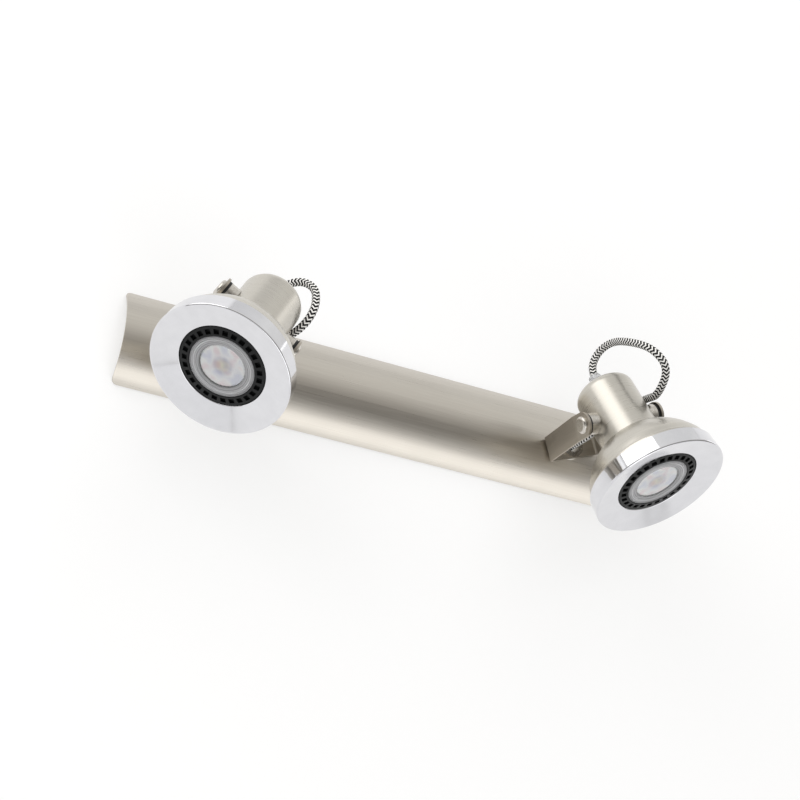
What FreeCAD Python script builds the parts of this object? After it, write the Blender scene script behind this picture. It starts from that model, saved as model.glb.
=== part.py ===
import FreeCAD, Part
import math
import os
import re

from FreeCAD import Placement, Rotation, Vector
from Sketcher import Constraint

# A wall-mounted spotlight bar: a curved sheet bar that hangs on a flat wall bracket, with two
# spotlights that each swivel on the bar and tilt in a U-shaped yoke.
# World frame: origin in the wall plane at the bar's centre, +X along the bar, -Y out from the
# wall, +Z up. Each yoke is drawn about its swivel axis, with depths out from the wall; each
# head is drawn about its tilt axis, with depths along the lamp axis towards the light.

doc = FreeCAD.newDocument("spotlight_bar")

SIZES = {
    # curved bar and what it hangs on
    "bar_length": 350.0,
    "bar_radius": 38.0,
    "bar_rise": 13.57,
    "bar_wall": 1.2,
    "bar_corner": 4.0,
    "bridge_inset": 85.0,
    "bridge_width": 16.0,
    "bridge_wall": 1.5,
    "bridge_depth": 5.0,
    "window_width": 10.0,
    "bracket_overhang": 7.0,
    "bracket_width": 30.0,
    "bracket_wall": 1.5,
    "bracket_corner": 3.0,
    "slot_spacing": 120.0,
    "slot_length": 10.0,
    "slot_radius": 2.25,
    "hook_width": 8.0,
    "hook_top": 2.0,
    "hook_lip": 4.0,
    "hook_play": 0.3,
    "entry_offset": 30.0,
    "entry_radius": 6.0,
    "grommet_flange": 8.0,
    "grommet_bore": 3.5,
    "grommet_lip": 1.5,
    "block_length": 24.0,
    "block_width": 15.0,
    "block_height": 9.0,
    "pole_pitch": 5.0,
    "pole_height": 3.2,
    "pole_bore": 1.5,
    "clamp_radius": 1.2,
    "clamp_inset": 5.0,
    "clamp_depth": 1.0,
    "block_screw_radius": 1.2,
    "block_screw_head": 1.8,
    "block_screw_head_height": 1.2,
    "earth_screw_offset": 40.0,
    "earth_screw_height": 8.0,
    "earth_screw_radius": 1.9,
    "earth_head_radius": 3.8,
    "earth_head_height": 2.4,
    # swivel joint on the bar
    "head_inset": 58.0,
    "nipple_radius": 5.0,
    "nipple_bore": 4.0,
    "nipple_flat": 0.45,
    "nipple_proud": 0.2,
    "nipple_tail": 0.8,
    "pad_radius": 8.0,
    "pad_outer_height": 1.5,
    "pad_inner_height": 2.17,
    "stop_washer_radius": 7.5,
    "stop_washer_wall": 0.95,
    "stop_tab_reach": 10.5,
    "stop_tab_width": 1.5,
    "lug_inner": 8.6,
    "lug_reach": 10.4,
    "lug_width": 1.2,
    "lug_overlap": 0.4,
    "inner_nut_flats": 14.0,
    "inner_nut_height": 2.5,
    "ring_nut_radius": 7.25,
    "ring_nut_height": 1.4,
    # yoke
    "tilt_above_crest": 61.8,
    "yoke_width": 15.4,
    "yoke_wall": 1.5,
    "yoke_base_half": 17.8,
    "yoke_reach": 26.85,
    "yoke_straight": 9.0,
    "yoke_base_bend": 3.2,
    "yoke_arm_bend": 9.0,
    # tilt joint
    "pivot_screw_radius": 1.95,
    "pivot_head_radius": 5.4,
    "pivot_head_height": 2.0,
    "pivot_head_round": 1.85,
    "pivot_nut_flats": 7.0,
    "pivot_nut_height": 2.2,
    "spacer_radius": 6.6,
    "rubber_radius": 6.6,
    "rubber_wall": 1.6,
    # lamp head
    "neck_radius": 18.4,
    "neck_wall": 1.2,
    "neck_rear": 25.3,
    "neck_shoulder": 6.4,
    "neck_seam": 9.0,
    "bell_start": 17.5,
    "bell_front_radius": 39.5,
    "bell_wall": 1.0,
    "bell_spigot": 5.0,
    "ring_rear": 42.2,
    "ring_front": 53.0,
    "ring_overhang": 1.1,
    "ring_side_draft": 0.74,
    "ring_opening": 25.4,
    "ring_dish": 4.1,
    "ring_wall": 1.5,
    "ring_spigot": 3.0,
    "ring_edge_round": 1.0,
    "ring_lip_round": 0.5,
    "gland_radius": 3.9,
    "gland_proud": 9.5,
    "gland_flange": 6.0,
    "gland_flange_wall": 2.0,
    "gland_round": 0.6,
    # lamp and its holder
    "lamp_recess": 4.3,
    "lamp_radius": 25.0,
    "lamp_length": 46.7,
    "bezel_inner": 19.0,
    "bezel_crown": 0.9,
    "bezel_depth": 3.7,
    "bezel_round": 0.6,
    "bezel_slots": 27,
    "bezel_slot_start": 20.5,
    "bezel_slot_end": 23.5,
    "bezel_slot_width": 3.2,
    "bezel_slot_depth": 1.6,
    "lens_thickness": 1.4,
    "lens_inset": 0.5,
    "lens_rim": 1.3,
    "lens_rim_height": 0.3,
    "optic_radius": 12.5,
    "optic_thickness": 3.4,
    "pin_pitch": 10.0,
    "pin_radius": 1.15,
    "pin_head_radius": 2.3,
    "pin_head_height": 2.4,
    "pin_length": 7.0,
    "holder_radius": 12.75,
    "holder_length": 15.0,
    "holder_socket_depth": 8.0,
    "holder_cable_depth": 3.0,
    "strap_width": 10.0,
    "strap_wall": 1.2,
    "strap_reach": 16.4,
    "strap_cable_hole": 3.0,
    # cables
    "cord_radius": 2.35,
    "lead_radius": 1.3,
    "cord_start": 12.0,
    "cord_end": 31.0,
    # clearances
    "seat_gap": 0.05,
    "pivot_fit": 0.1,
    "thread_fit": 0.05,
    "plug_fit": 0.15,
    "socket_fit": 0.3,
    "hole_play": 0.6,
    "cut_overrun": 5.0,
}

# rest pose in degrees: how far each yoke is swivelled and each head is tipped
SWIVEL_DEGREES = {"left": -28.8, "right": 21.5}
TILT_DEGREES = {"left": 68.0, "right": 65.0}
SIGN = {"left": -1, "right": 1}

# lamp body outline, from its base at the holder to the rim behind the bezel
LAMP_RADIUS_shares = (0.50, 0.50, 0.58, 0.78, 0.99)
LAMP_LENGTH_shares = (0.0, 0.11, 0.34, 0.62, 0.86)

# bell curve: the power of its squared-off quarter arc, and how many points carry it
BELL_POWER = 1.5
BELL_STEPS = 10

# hand-chosen cable routes, about the tilt axis: along it, up across the bar, out from the wall
LOOP_POINTS = {
    "left": [
        (0, 0, -50),
        (4.5, 2.6, -36),
        (15.5, 9.2, -25.5),
        (19.7, 12.7, -18.8),
        (21.5, 16.1, -10.5),
        (22.1, 19, -5.6),
        (22.1, 22.8, -2.3),
        (21.4, 27.7, -0.8),
        (19.5, 34.3, -1.1),
        (14.4, 42.9, -4.2),
        (6.2, 45, -11),
        (0, 37.1, -15),
    ],
    "right": [
        (0, 0, -50),
        (4.5, 2.6, -36),
        (15.5, 9.2, -25.5),
        (21.6, 10.8, -10),
        (21.6, 9.8, 4),
        (19.9, 8.1, 16.2),
        (22.5, 20.1, 30.5),
        (15.5, 33.7, 30),
        (11.6, 43.3, 15.1),
        (12.3, 50, -5.2),
        (6.9, 46.4, -15.8),
        (0, 36.3, -16.9),
    ],
}
# inner leads, from the swivel axis to the terminal block: towards the bar's end, out, up
LEAD_POINTS = [
    (117, 3, 0),
    (108.5, 3.6, -2),
    (100, 7.8, -6),
    (88, 7.6, -9),
    (71, 6.8, -9),
    (50, 5.6, -7.2),
    (32, 4.9, -5.6),
    (18, 4.7, -5),
    (9, 4.7, -5),
]

sheet = doc.addObject("Spreadsheet::Sheet", "Sizes")
for row, (size_name, value) in enumerate(SIZES.items(), start=1):
    sheet.set(f"A{row}", size_name.replace("_", " "))
    sheet.set(f"B{row}", str(value))
    sheet.setAlias(f"B{row}", size_name)
doc.recompute()

PIECES = []


def size(name):
    return float(sheet.get(name))


def in_sheet(text):
    """The expression with every size's name pointed at its cell."""
    return re.sub(r"[a-z][a-z_]+", lambda word: f"Sizes.{word[0]}" if word[0] in SIZES else word[0], text)


def bind(item, prop, text):
    item.setExpression(prop, in_sheet(text))


# distances along the bar from its middle, as expressions
HEAD_ALONG = "(bar_length / 2 - head_inset)"
BRIDGE_ALONG = "(bar_length / 2 - bridge_inset)"
BRACKET_HALF = f"({BRIDGE_ALONG} + bracket_overhang)"
# depths out from the wall, as expressions
INNER_CREST = "(bar_rise - bar_wall)"
BASE_BACK = "(bar_rise + pad_outer_height)"
BASE_FRONT = f"({BASE_BACK} + yoke_wall)"
TILT_OUT = "(bar_rise + tilt_above_crest)"
PAD_FLAT = f"({INNER_CREST} - pad_inner_height)"
STOP_BACK = f"({PAD_FLAT} - seat_gap - stop_washer_wall)"
NUT_FRONT = f"({STOP_BACK} - seat_gap)"
NUT_BACK = f"({NUT_FRONT} - inner_nut_height)"
NIPPLE_BACK = f"({NUT_BACK} - nipple_tail)"
RING_NUT_FRONT = f"({BASE_FRONT} + ring_nut_height)"
BAR_AXIS = "(bar_radius - bar_rise)"
# distances along the tilt axis
ARM_INNER = "(yoke_reach - yoke_wall)"
RUBBER_INNER = f"({ARM_INNER} - seat_gap - rubber_wall)"
STRAP_INNER = "(strap_reach - strap_wall)"
SCREW_END = f"({STRAP_INNER} - pivot_nut_height)"
# radii of the chrome ring's side wall
RING_REAR_RADIUS = "(bell_front_radius + ring_overhang)"
RING_FRONT_RADIUS = f"({RING_REAR_RADIUS} + ring_side_draft)"
# depths along the lamp axis
LAMP_FACE = "(ring_front - lamp_recess)"
LAMP_BASE = f"({LAMP_FACE} - lamp_length)"
BEZEL_BACK = f"({LAMP_FACE} - bezel_depth)"
BEZEL_CREST = f"({LAMP_FACE} + bezel_crown)"
LENS_FRONT = f"({BEZEL_CREST} - lens_inset)"
LENS_BACK = f"({LENS_FRONT} - lens_thickness)"
OPTIC_FRONT = f"({LENS_BACK} - seat_gap)"
OPTIC_BACK = f"({OPTIC_FRONT} - optic_thickness)"
HOLDER_FRONT = f"({LAMP_BASE} - seat_gap)"
HOLDER_BACK = f"({HOLDER_FRONT} - holder_length)"
STRAP_FRONT = f"({HOLDER_BACK} - seat_gap)"
NECK_FLOOR = "(neck_rear - neck_wall)"


def head_along():
    return size("bar_length") / 2 - size("head_inset")


def yoke_place(side):
    """The frame of a yoke: on its swivel axis, in the wall plane."""
    along = Vector(SIGN[side] * head_along(), 0, 0)
    return Placement(along, Rotation(Vector(0, -1, 0), SWIVEL_DEGREES[side]))


def head_place(side):
    """The frame of a head: on its tilt axis, turned with it."""
    out = size("bar_rise") + size("tilt_above_crest")
    tip = Placement(Vector(0, -out, 0), Rotation(Vector(1, 0, 0), TILT_DEGREES[side]))
    return yoke_place(side).multiply(tip)


def keep(item, name, place=None):
    """Name a finished sub-part, put it in its place and list it for writing."""
    item.Label = name
    if place is not None:
        item.Placement = place
    PIECES.append(item)
    return item


def new_body(name):
    return doc.addObject("PartDesign::Body", name)


def sketch_on(body, role, out="0"):
    """A sketch on one of the body's own planes, moved out along its normal."""
    sketch = body.newObject("Sketcher::SketchObject", "Sketch")
    plane = next(item for item in body.Origin.OriginFeatures if item.Role == role)
    sketch.AttachmentSupport = [(plane, "")]
    sketch.MapMode = "FlatFace"
    if out != "0":
        bind(sketch, "AttachmentOffset.Base.z", out)
    return sketch


def fix_point(sketch, curve, end, start, across, up):
    """Tie one point of a sketch to its place with two bound distances."""
    for kind, at, text in (("DistanceX", start.x, across), ("DistanceY", start.y, up)):
        number = sketch.addConstraint(Constraint(kind, -1, 1, curve, end, at))
        sketch.renameConstraint(number, f"{kind}{number}")
        bind(sketch, f"Constraints.{kind}{number}", text)


def polygon(sketch, corners):
    """A closed outline through corners given as expressions."""
    turn = 2 * math.pi / len(corners)
    spots = [Vector(math.cos(turn * step), math.sin(turn * step), 0) for step in range(len(corners))]
    first = sketch.GeometryCount
    for here, after in zip(spots, spots[1:] + spots[:1]):
        sketch.addGeometry(Part.LineSegment(here, after), False)
    for step, (across, up) in enumerate(corners):
        following = first + (step + 1) % len(corners)
        sketch.addConstraint(Constraint("Coincident", first + step, 2, following, 1))
        fix_point(sketch, first + step, 1, spots[step], across, up)
    return sketch


def rectangle(sketch, low_across, high_across, low_up, high_up):
    return polygon(sketch, [
        (low_across, low_up),
        (high_across, low_up),
        (high_across, high_up),
        (low_across, high_up),
    ])


def circle(sketch, radius, across="0", up="0"):
    """A bound circle in a sketch."""
    curve = sketch.addGeometry(Part.Circle(Vector(0, 0, 0), Vector(0, 0, 1), 1), False)
    number = sketch.addConstraint(Constraint("Radius", curve, 1))
    sketch.renameConstraint(number, f"Radius{number}")
    bind(sketch, f"Constraints.Radius{number}", radius)
    fix_point(sketch, curve, 3, Vector(0, 0, 0), across, up)
    return sketch


def hexagon(sketch, flats):
    """A bound hexagon with its corners on the upright axis."""
    corners = []
    for step in range(6):
        turn = math.radians(60 * step + 30)
        reach = f"{flats} / 2 / cos(30 deg)"
        corners.append((f"{math.cos(turn):.9f} * {reach}", f"{math.sin(turn):.9f} * {reach}"))
    return polygon(sketch, corners)


def pad(body, sketch, length, both_ways=False):
    item = body.newObject("PartDesign::Pad", "Pad")
    item.Profile = sketch
    bind(item, "Length", length)
    if both_ways:
        item.SideType = "Symmetric"
    sketch.Visibility = False
    return item


def pocket(body, sketch, depth=None, both_ways=False):
    """Cut back against the sketch's normal, or right through both ways."""
    item = body.newObject("PartDesign::Pocket", "Pocket")
    item.Profile = sketch
    if depth is None:
        item.Type = "ThroughAll"
    else:
        bind(item, "Length", depth)
    if both_ways:
        item.SideType = "Symmetric"
    sketch.Visibility = False
    return item


def lathe(body, outline):
    """Turn an outline of (radius, depth along the lamp or swivel axis) about that axis."""
    sketch = polygon(sketch_on(body, "XY_Plane"), [(radius, f"-({depth})") for radius, depth in outline])
    item = body.newObject("PartDesign::Revolution", "Revolution")
    item.Profile = sketch
    item.ReferenceAxis = (sketch, ["V_Axis"])
    item.Angle = 360
    return item


def round_edges(body, feature, radius, wanted):
    """Fillet the edges of the latest feature that a test picks."""
    doc.recompute()
    names = [f"Edge{number}" for number, edge in enumerate(feature.Shape.Edges, start=1) if wanted(edge)]
    item = body.newObject("PartDesign::Fillet", "Fillet")
    item.Base = (feature, names)
    bind(item, "Radius", radius)
    doc.recompute()
    return item


def ring_edge_at(radius, depth):
    """A test for the full circle of a given radius at a given depth."""
    def test(edge):
        curve = edge.Curve
        if not isinstance(curve, Part.Circle):
            return False
        same_radius = abs(curve.Radius - radius) < radius * NEAR_share
        return same_radius and abs(-curve.Center.y - depth) < radius * NEAR_share
    return test


NEAR_share = 0.001


def upright_at(across, out):
    """A test for a straight edge along Z at a given place."""
    def test(edge):
        low = edge.BoundBox
        near = NEAR_share * size("bar_length")
        return (low.ZLength > near and low.XLength < near and low.YLength < near
                and abs(low.XMin - across) < near and abs(-low.YMin - out) < near)
    return test


def cylinder(name, radius, length, out="0"):
    """A bound cylinder along the bar's length, about the curve's own axis."""
    item = doc.addObject("Part::Cylinder", name)
    bind(item, "Radius", radius)
    bind(item, "Height", length)
    item.Placement = Placement(Vector(0, 0, 0), Rotation(Vector(0, 1, 0), 90))
    bind(item, "Placement.Base.x", f"-({length}) / 2")
    bind(item, "Placement.Base.y", out)
    return item


def boolean(kind, name, base, tool):
    item = doc.addObject(f"Part::{kind}", name)
    item.Base = base
    item.Tool = tool
    return item


def make_bar_cover():
    """Curved sheet cover, open at both ends, with rounded corners and two swivel holes."""
    shell = new_body("cover_shell")
    section = sketch_on(shell, "YZ_Plane")
    circle(section, "bar_radius", BAR_AXIS)
    circle(section, "bar_radius - bar_wall", BAR_AXIS)
    pad(shell, section, "bar_length", both_ways=True)
    outline = new_body("cover_outline")
    half_chord = f"sqrt(bar_radius ^ 2 - {BAR_AXIS} ^ 2)"
    front = rectangle(sketch_on(outline, "XZ_Plane"), "-bar_length / 2", "bar_length / 2",
                      f"-{half_chord}", half_chord)
    block = pad(outline, front, "bar_radius")
    near = NEAR_share * size("bar_length")
    round_edges(outline, block, "bar_corner",
                lambda edge: edge.BoundBox.YLength > near and edge.BoundBox.XLength < near)
    holes = sketch_on(outline, "XZ_Plane", "bar_radius")
    for sign in ("-", ""):
        circle(holes, "nipple_radius + pivot_fit", f"{sign}{HEAD_ALONG}")
    pocket(outline, holes, "bar_radius + cut_overrun")
    return keep(boolean("Common", "cover", shell, outline), "bar_cover")


def make_hanging_bridges():
    """Two flat bridges welded across the cover, each with a window for its hook."""
    inside = cylinder("bridge_fit", "bar_radius - bar_wall - seat_gap", "bar_length", BAR_AXIS)
    strips = []
    windows = []
    for side, sign in SIGN.items():
        strip = doc.addObject("Part::Box", f"{side}_strip")
        bind(strip, "Length", "bridge_width")
        bind(strip, "Width", "bridge_wall")
        bind(strip, "Height", "bar_radius * 2")
        bind(strip, "Placement.Base.x", f"{sign} * {BRIDGE_ALONG} - bridge_width / 2")
        bind(strip, "Placement.Base.y", "-bridge_depth")
        bind(strip, "Placement.Base.z", "-bar_radius")
        strips.append(strip)
        window = doc.addObject("Part::Box", f"{side}_window")
        bind(window, "Length", "window_width")
        bind(window, "Width", "bridge_wall + cut_overrun * 2")
        bind(window, "Height", "hook_lip + bracket_wall + hook_play * 2")
        bind(window, "Placement.Base.x", f"{sign} * {BRIDGE_ALONG} - window_width / 2")
        bind(window, "Placement.Base.y", "-bridge_depth - cut_overrun")
        bind(window, "Placement.Base.z", "hook_top + seat_gap - hook_lip - bracket_wall - hook_play * 2")
        windows.append(window)
    both_strips = boolean("Fuse", "strips", *strips)
    both_windows = boolean("Fuse", "windows", *windows)
    fitted = boolean("Common", "fitted_strips", both_strips, inside)
    return keep(boolean("Cut", "bridges", fitted, both_windows), "hanging_bridges")


def make_wall_bracket():
    """Flat wall strip with two screw slots, a cable hole and two bent-up hooks."""
    body = new_body("bracket_body")
    face = rectangle(sketch_on(body, "XZ_Plane"), f"-{BRACKET_HALF}", BRACKET_HALF,
                     "-bracket_width / 2", "bracket_width / 2")
    plate = pad(body, face, "bracket_wall")
    near = NEAR_share * size("bar_length")
    plate = round_edges(body, plate, "bracket_corner",
                        lambda edge: edge.BoundBox.YLength > near and edge.BoundBox.XLength < near)
    middles = sketch_on(body, "XZ_Plane", "bracket_wall")
    ends = sketch_on(body, "XZ_Plane", "bracket_wall")
    for sign in (-1, 1):
        centre = f"{sign} * slot_spacing / 2"
        half = "(slot_length / 2 - slot_radius)"
        rectangle(middles, f"{centre} - {half}", f"{centre} + {half}", "-slot_radius", "slot_radius")
        circle(ends, "slot_radius", f"{centre} - {half}")
        circle(ends, "slot_radius", f"{centre} + {half}")
    circle(middles, "entry_radius", "-entry_offset")
    circle(middles, "block_screw_radius + thread_fit", "block_length / 3", "pole_pitch / 2")
    circle(middles, "earth_screw_radius + thread_fit", "earth_screw_offset", "earth_screw_height")
    pocket(body, middles, "bracket_wall + cut_overrun")
    pocket(body, ends, "bracket_wall + cut_overrun")
    hooks = sketch_on(body, "XZ_Plane")
    lips = sketch_on(body, "XZ_Plane", "bridge_depth + hook_play")
    for sign in (-1, 1):
        low = f"{sign} * {BRIDGE_ALONG} - hook_width / 2"
        high = f"{sign} * {BRIDGE_ALONG} + hook_width / 2"
        rectangle(hooks, low, high, "hook_top - bracket_wall", "hook_top")
        rectangle(lips, low, high, "hook_top - bracket_wall", "hook_top + hook_lip")
    pad(body, hooks, "bridge_depth + hook_play + bracket_wall")
    pad(body, lips, "bracket_wall")
    return keep(body, "wall_bracket")


def make_supply_grommet():
    """Rubber bush that lines the supply cable's hole."""
    body = new_body("grommet_body")
    sleeve = sketch_on(body, "XZ_Plane")
    circle(sleeve, "entry_radius - seat_gap", "-entry_offset")
    pad(body, sleeve, "bracket_wall + grommet_lip / 2")
    flange = sketch_on(body, "XZ_Plane", "bracket_wall")
    circle(flange, "grommet_flange", "-entry_offset")
    pad(body, flange, "grommet_lip")
    bore = sketch_on(body, "XZ_Plane", "bracket_wall + grommet_lip")
    circle(bore, "grommet_bore", "-entry_offset")
    pocket(body, bore, "bracket_wall + grommet_lip + cut_overrun")
    return keep(body, "supply_grommet")


POLES = ("-pole_pitch", "0", "pole_pitch")
CLAMPS = ("-(block_length / 2 - clamp_inset)", "block_length / 2 - clamp_inset")


def make_terminal_block():
    """Three-pole terminal block on the wall bracket."""
    body = new_body("block_body")
    base = rectangle(sketch_on(body, "XZ_Plane", "bracket_wall"), "-block_length / 2", "block_length / 2",
                     "-block_width / 2", "block_width / 2")
    pad(body, base, "block_height")
    bores = sketch_on(body, "YZ_Plane")
    for pole in POLES:
        circle(bores, "pole_bore", "-(bracket_wall + pole_height)", pole)
    pocket(body, bores, "block_length * 2", both_ways=True)
    wells = sketch_on(body, "XZ_Plane", "bracket_wall + block_height")
    for pole in POLES:
        for clamp in CLAMPS:
            circle(wells, "clamp_radius + thread_fit", clamp, pole)
    pocket(body, wells, "block_height - pole_height")
    screw = sketch_on(body, "XZ_Plane", "bracket_wall + block_height")
    circle(screw, "block_screw_radius + thread_fit", "block_length / 3", "pole_pitch / 2")
    pocket(body, screw, "block_height + cut_overrun")
    return keep(body, "terminal_block")


def make_terminal_clamps():
    """Six clamp screws that press on the cores from the front of the block."""
    body = new_body("clamps_body")
    tips = sketch_on(body, "XZ_Plane", "bracket_wall + pole_height + lead_radius + seat_gap")
    for pole in POLES:
        for clamp in CLAMPS:
            circle(tips, "clamp_radius", clamp, pole)
    pad(body, tips, "block_height - pole_height - lead_radius - clamp_depth")
    return keep(body, "terminal_clamps")


def flush_screw(name, radius, head_radius, head_height, across, up, seat):
    """A pan-head screw through the bracket, its head towards the room."""
    body = new_body(f"{name}_body")
    shank = sketch_on(body, "XZ_Plane", "seat_gap")
    circle(shank, radius, across, up)
    pad(body, shank, f"{seat} + {head_height} / 2")
    head = sketch_on(body, "XZ_Plane", seat)
    circle(head, head_radius, across, up)
    pad(body, head, head_height)
    return keep(body, name)


def saddle(name, side, low, high, curve_radius, outside):
    """A round pad with one flat face and one that follows the curved sheet."""
    body = doc.addObject("Part::Cylinder", f"{name}_blank")
    bind(body, "Radius", "pad_radius")
    bind(body, "Height", f"{high} - {low}")
    body.Placement = Placement(Vector(0, 0, 0), Rotation(Vector(1, 0, 0), 90))
    bind(body, "Placement.Base.y", f"-({low})")
    hole = doc.addObject("Part::Cylinder", f"{name}_hole")
    bind(hole, "Radius", "nipple_radius + pivot_fit")
    bind(hole, "Height", "bar_radius * 2")
    hole.Placement = Placement(Vector(0, 0, 0), Rotation(Vector(1, 0, 0), 90))
    bind(hole, "Placement.Base.y", "bar_radius")
    curve = cylinder(f"{name}_curve", curve_radius, "bar_length", BAR_AXIS)
    pierced = boolean("Cut", f"{name}_pierced", body, hole)
    shaped = boolean("Cut" if outside else "Common", f"{name}_shape", pierced, curve)
    along = SIGN[side] * head_along()
    return keep(shaped, name, Placement(Vector(along, 0, 0), Rotation()))


def make_stop_lug(side):
    """Pressed lug inside the cover that stops the swivel after most of a turn."""
    bar = doc.addObject("Part::Box", f"{side}_lug_blank")
    bind(bar, "Length", "lug_reach - lug_inner")
    bind(bar, "Width", f"{INNER_CREST} - {STOP_BACK} + lug_overlap")
    bind(bar, "Height", "lug_width")
    bind(bar, "Placement.Base.x", "lug_inner")
    bind(bar, "Placement.Base.y", f"-{INNER_CREST}")
    bind(bar, "Placement.Base.z", "-lug_width / 2")
    curve = cylinder(f"{side}_lug_curve", "bar_radius - bar_wall - seat_gap", "bar_length", BAR_AXIS)
    lug = boolean("Common", f"{side}_lug", bar, curve)
    along = SIGN[side] * head_along()
    return keep(lug, f"{side}_stop_lug", Placement(Vector(along, 0, 0), Rotation()))


def make_yoke(side):
    """Bent strap: a flat base on the bar and two splayed arms with parallel, rounded ends."""
    body = new_body(f"{side}_yoke_body")
    kink = f"({TILT_OUT} - yoke_straight)"
    lean = f"((yoke_reach - yoke_base_half) / ({kink} - {BASE_BACK}))"
    inner_base = f"(yoke_base_half - yoke_wall + yoke_wall * {lean})"
    right_way = [
        ("yoke_base_half", BASE_BACK),
        ("yoke_reach", kink),
        ("yoke_reach", TILT_OUT),
        (ARM_INNER, TILT_OUT),
        (ARM_INNER, kink),
        (inner_base, BASE_FRONT),
    ]
    left_way = [(f"-({across})", out) for across, out in reversed(right_way)]
    sketch = polygon(sketch_on(body, "XY_Plane"), [(across, f"-({out})") for across, out in right_way + left_way])
    strap = pad(body, sketch, "yoke_width", both_ways=True)
    doc.recompute()
    base_half = size("yoke_base_half")
    reach = size("yoke_reach")
    wall = size("yoke_wall")
    back = size("bar_rise") + size("pad_outer_height")
    kink_out = size("bar_rise") + size("tilt_above_crest") - size("yoke_straight")
    slope = (reach - base_half) / (kink_out - back)
    inner_half = base_half - wall + wall * slope

    def corner_test(across, out):
        tests = [upright_at(sign * across, out) for sign in (-1, 1)]
        return lambda edge: any(test(edge) for test in tests)

    strap = round_edges(body, strap, "yoke_base_bend", corner_test(base_half, back))
    strap = round_edges(body, strap, "yoke_base_bend - yoke_wall", corner_test(inner_half, back + wall))
    strap = round_edges(body, strap, "yoke_arm_bend - yoke_wall", corner_test(reach, kink_out))
    strap = round_edges(body, strap, "yoke_arm_bend", corner_test(reach - wall, kink_out))
    for start in (ARM_INNER, "-yoke_reach"):
        ear = sketch_on(body, "YZ_Plane", start)
        circle(ear, "yoke_width / 2", f"-{TILT_OUT}")
        pad(body, ear, "yoke_wall")
    pivots = sketch_on(body, "YZ_Plane")
    circle(pivots, "pivot_screw_radius + pivot_fit", f"-{TILT_OUT}")
    pocket(body, pivots, "yoke_reach * 3", both_ways=True)
    foot = sketch_on(body, "XZ_Plane", f"{BASE_FRONT} + cut_overrun")
    circle(foot, "nipple_radius + thread_fit")
    pocket(body, foot, "yoke_wall + cut_overrun * 2")
    return keep(body, f"{side}_yoke", yoke_place(side))


def make_nipple(side):
    """Hollow threaded nipple that is the swivel's axle, with a flat for the stop washer."""
    body = new_body(f"{side}_nipple_body")
    tube = sketch_on(body, "XZ_Plane", NIPPLE_BACK)
    circle(tube, "nipple_radius")
    circle(tube, "nipple_bore")
    pad(body, tube, f"{RING_NUT_FRONT} + nipple_proud - {NIPPLE_BACK}")
    flat = rectangle(sketch_on(body, "XZ_Plane", PAD_FLAT), "nipple_radius - nipple_flat", "nipple_radius * 2",
                     "-nipple_radius", "nipple_radius")
    pocket(body, flat, f"{PAD_FLAT} - {NIPPLE_BACK} + cut_overrun")
    return keep(body, f"{side}_nipple", yoke_place(side))


def make_ring_nut(side):
    """Thin round nut that clamps the yoke's base."""
    body = new_body(f"{side}_ring_nut_body")
    ring = sketch_on(body, "XZ_Plane", BASE_FRONT)
    circle(ring, "ring_nut_radius")
    circle(ring, "nipple_radius + thread_fit")
    pad(body, ring, "ring_nut_height")
    return keep(body, f"{side}_ring_nut", yoke_place(side))


def make_inner_nut(side):
    """Hexagon nut inside the bar."""
    body = new_body(f"{side}_inner_nut_body")
    pad(body, hexagon(sketch_on(body, "XZ_Plane", NUT_BACK), "inner_nut_flats"), "inner_nut_height")
    bore = sketch_on(body, "XZ_Plane", NUT_FRONT)
    circle(bore, "nipple_radius + thread_fit")
    pocket(body, bore, "inner_nut_height + cut_overrun")
    return keep(body, f"{side}_inner_nut", yoke_place(side))


def make_stop_washer(side):
    """Keyed washer with the tab that meets the stop lug."""
    body = new_body(f"{side}_stop_washer_body")
    disc = sketch_on(body, "XZ_Plane", STOP_BACK)
    circle(disc, "stop_washer_radius")
    pad(body, disc, "stop_washer_wall")
    tab = rectangle(sketch_on(body, "XZ_Plane", STOP_BACK), "-stop_tab_reach", "-nipple_radius",
                    "-stop_tab_width / 2", "stop_tab_width / 2")
    pad(body, tab, "stop_washer_wall")
    bore = sketch_on(body, "XZ_Plane", PAD_FLAT)
    circle(bore, "nipple_radius + thread_fit")
    pocket(body, bore, "stop_washer_wall + cut_overrun")
    key = rectangle(sketch_on(body, "XZ_Plane", STOP_BACK), "nipple_radius - nipple_flat + thread_fit",
                    "nipple_radius + pivot_fit", "-nipple_radius / 3", "nipple_radius / 3")
    pad(body, key, "stop_washer_wall")
    return keep(body, f"{side}_stop_washer", yoke_place(side))


def pair_along_pivot(body, starts, length, radii):
    """Two like rings on the tilt axis, drawn about the frame's own X axis."""
    for start in starts:
        ring = sketch_on(body, "YZ_Plane", start)
        for radius in radii:
            circle(ring, radius)
        pad(body, ring, length)


def make_rubber_washers(side):
    """Rubber friction washers between the arms and the head's spacers."""
    body = new_body(f"{side}_rubber_body")
    starts = (RUBBER_INNER, f"-({RUBBER_INNER} + rubber_wall)")
    pair_along_pivot(body, starts, "rubber_wall", ("rubber_radius", "pivot_screw_radius + pivot_fit"))
    out = size("bar_rise") + size("tilt_above_crest")
    level = yoke_place(side).multiply(Placement(Vector(0, -out, 0), Rotation()))
    return keep(body, f"{side}_rubber_washers", level)


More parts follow.
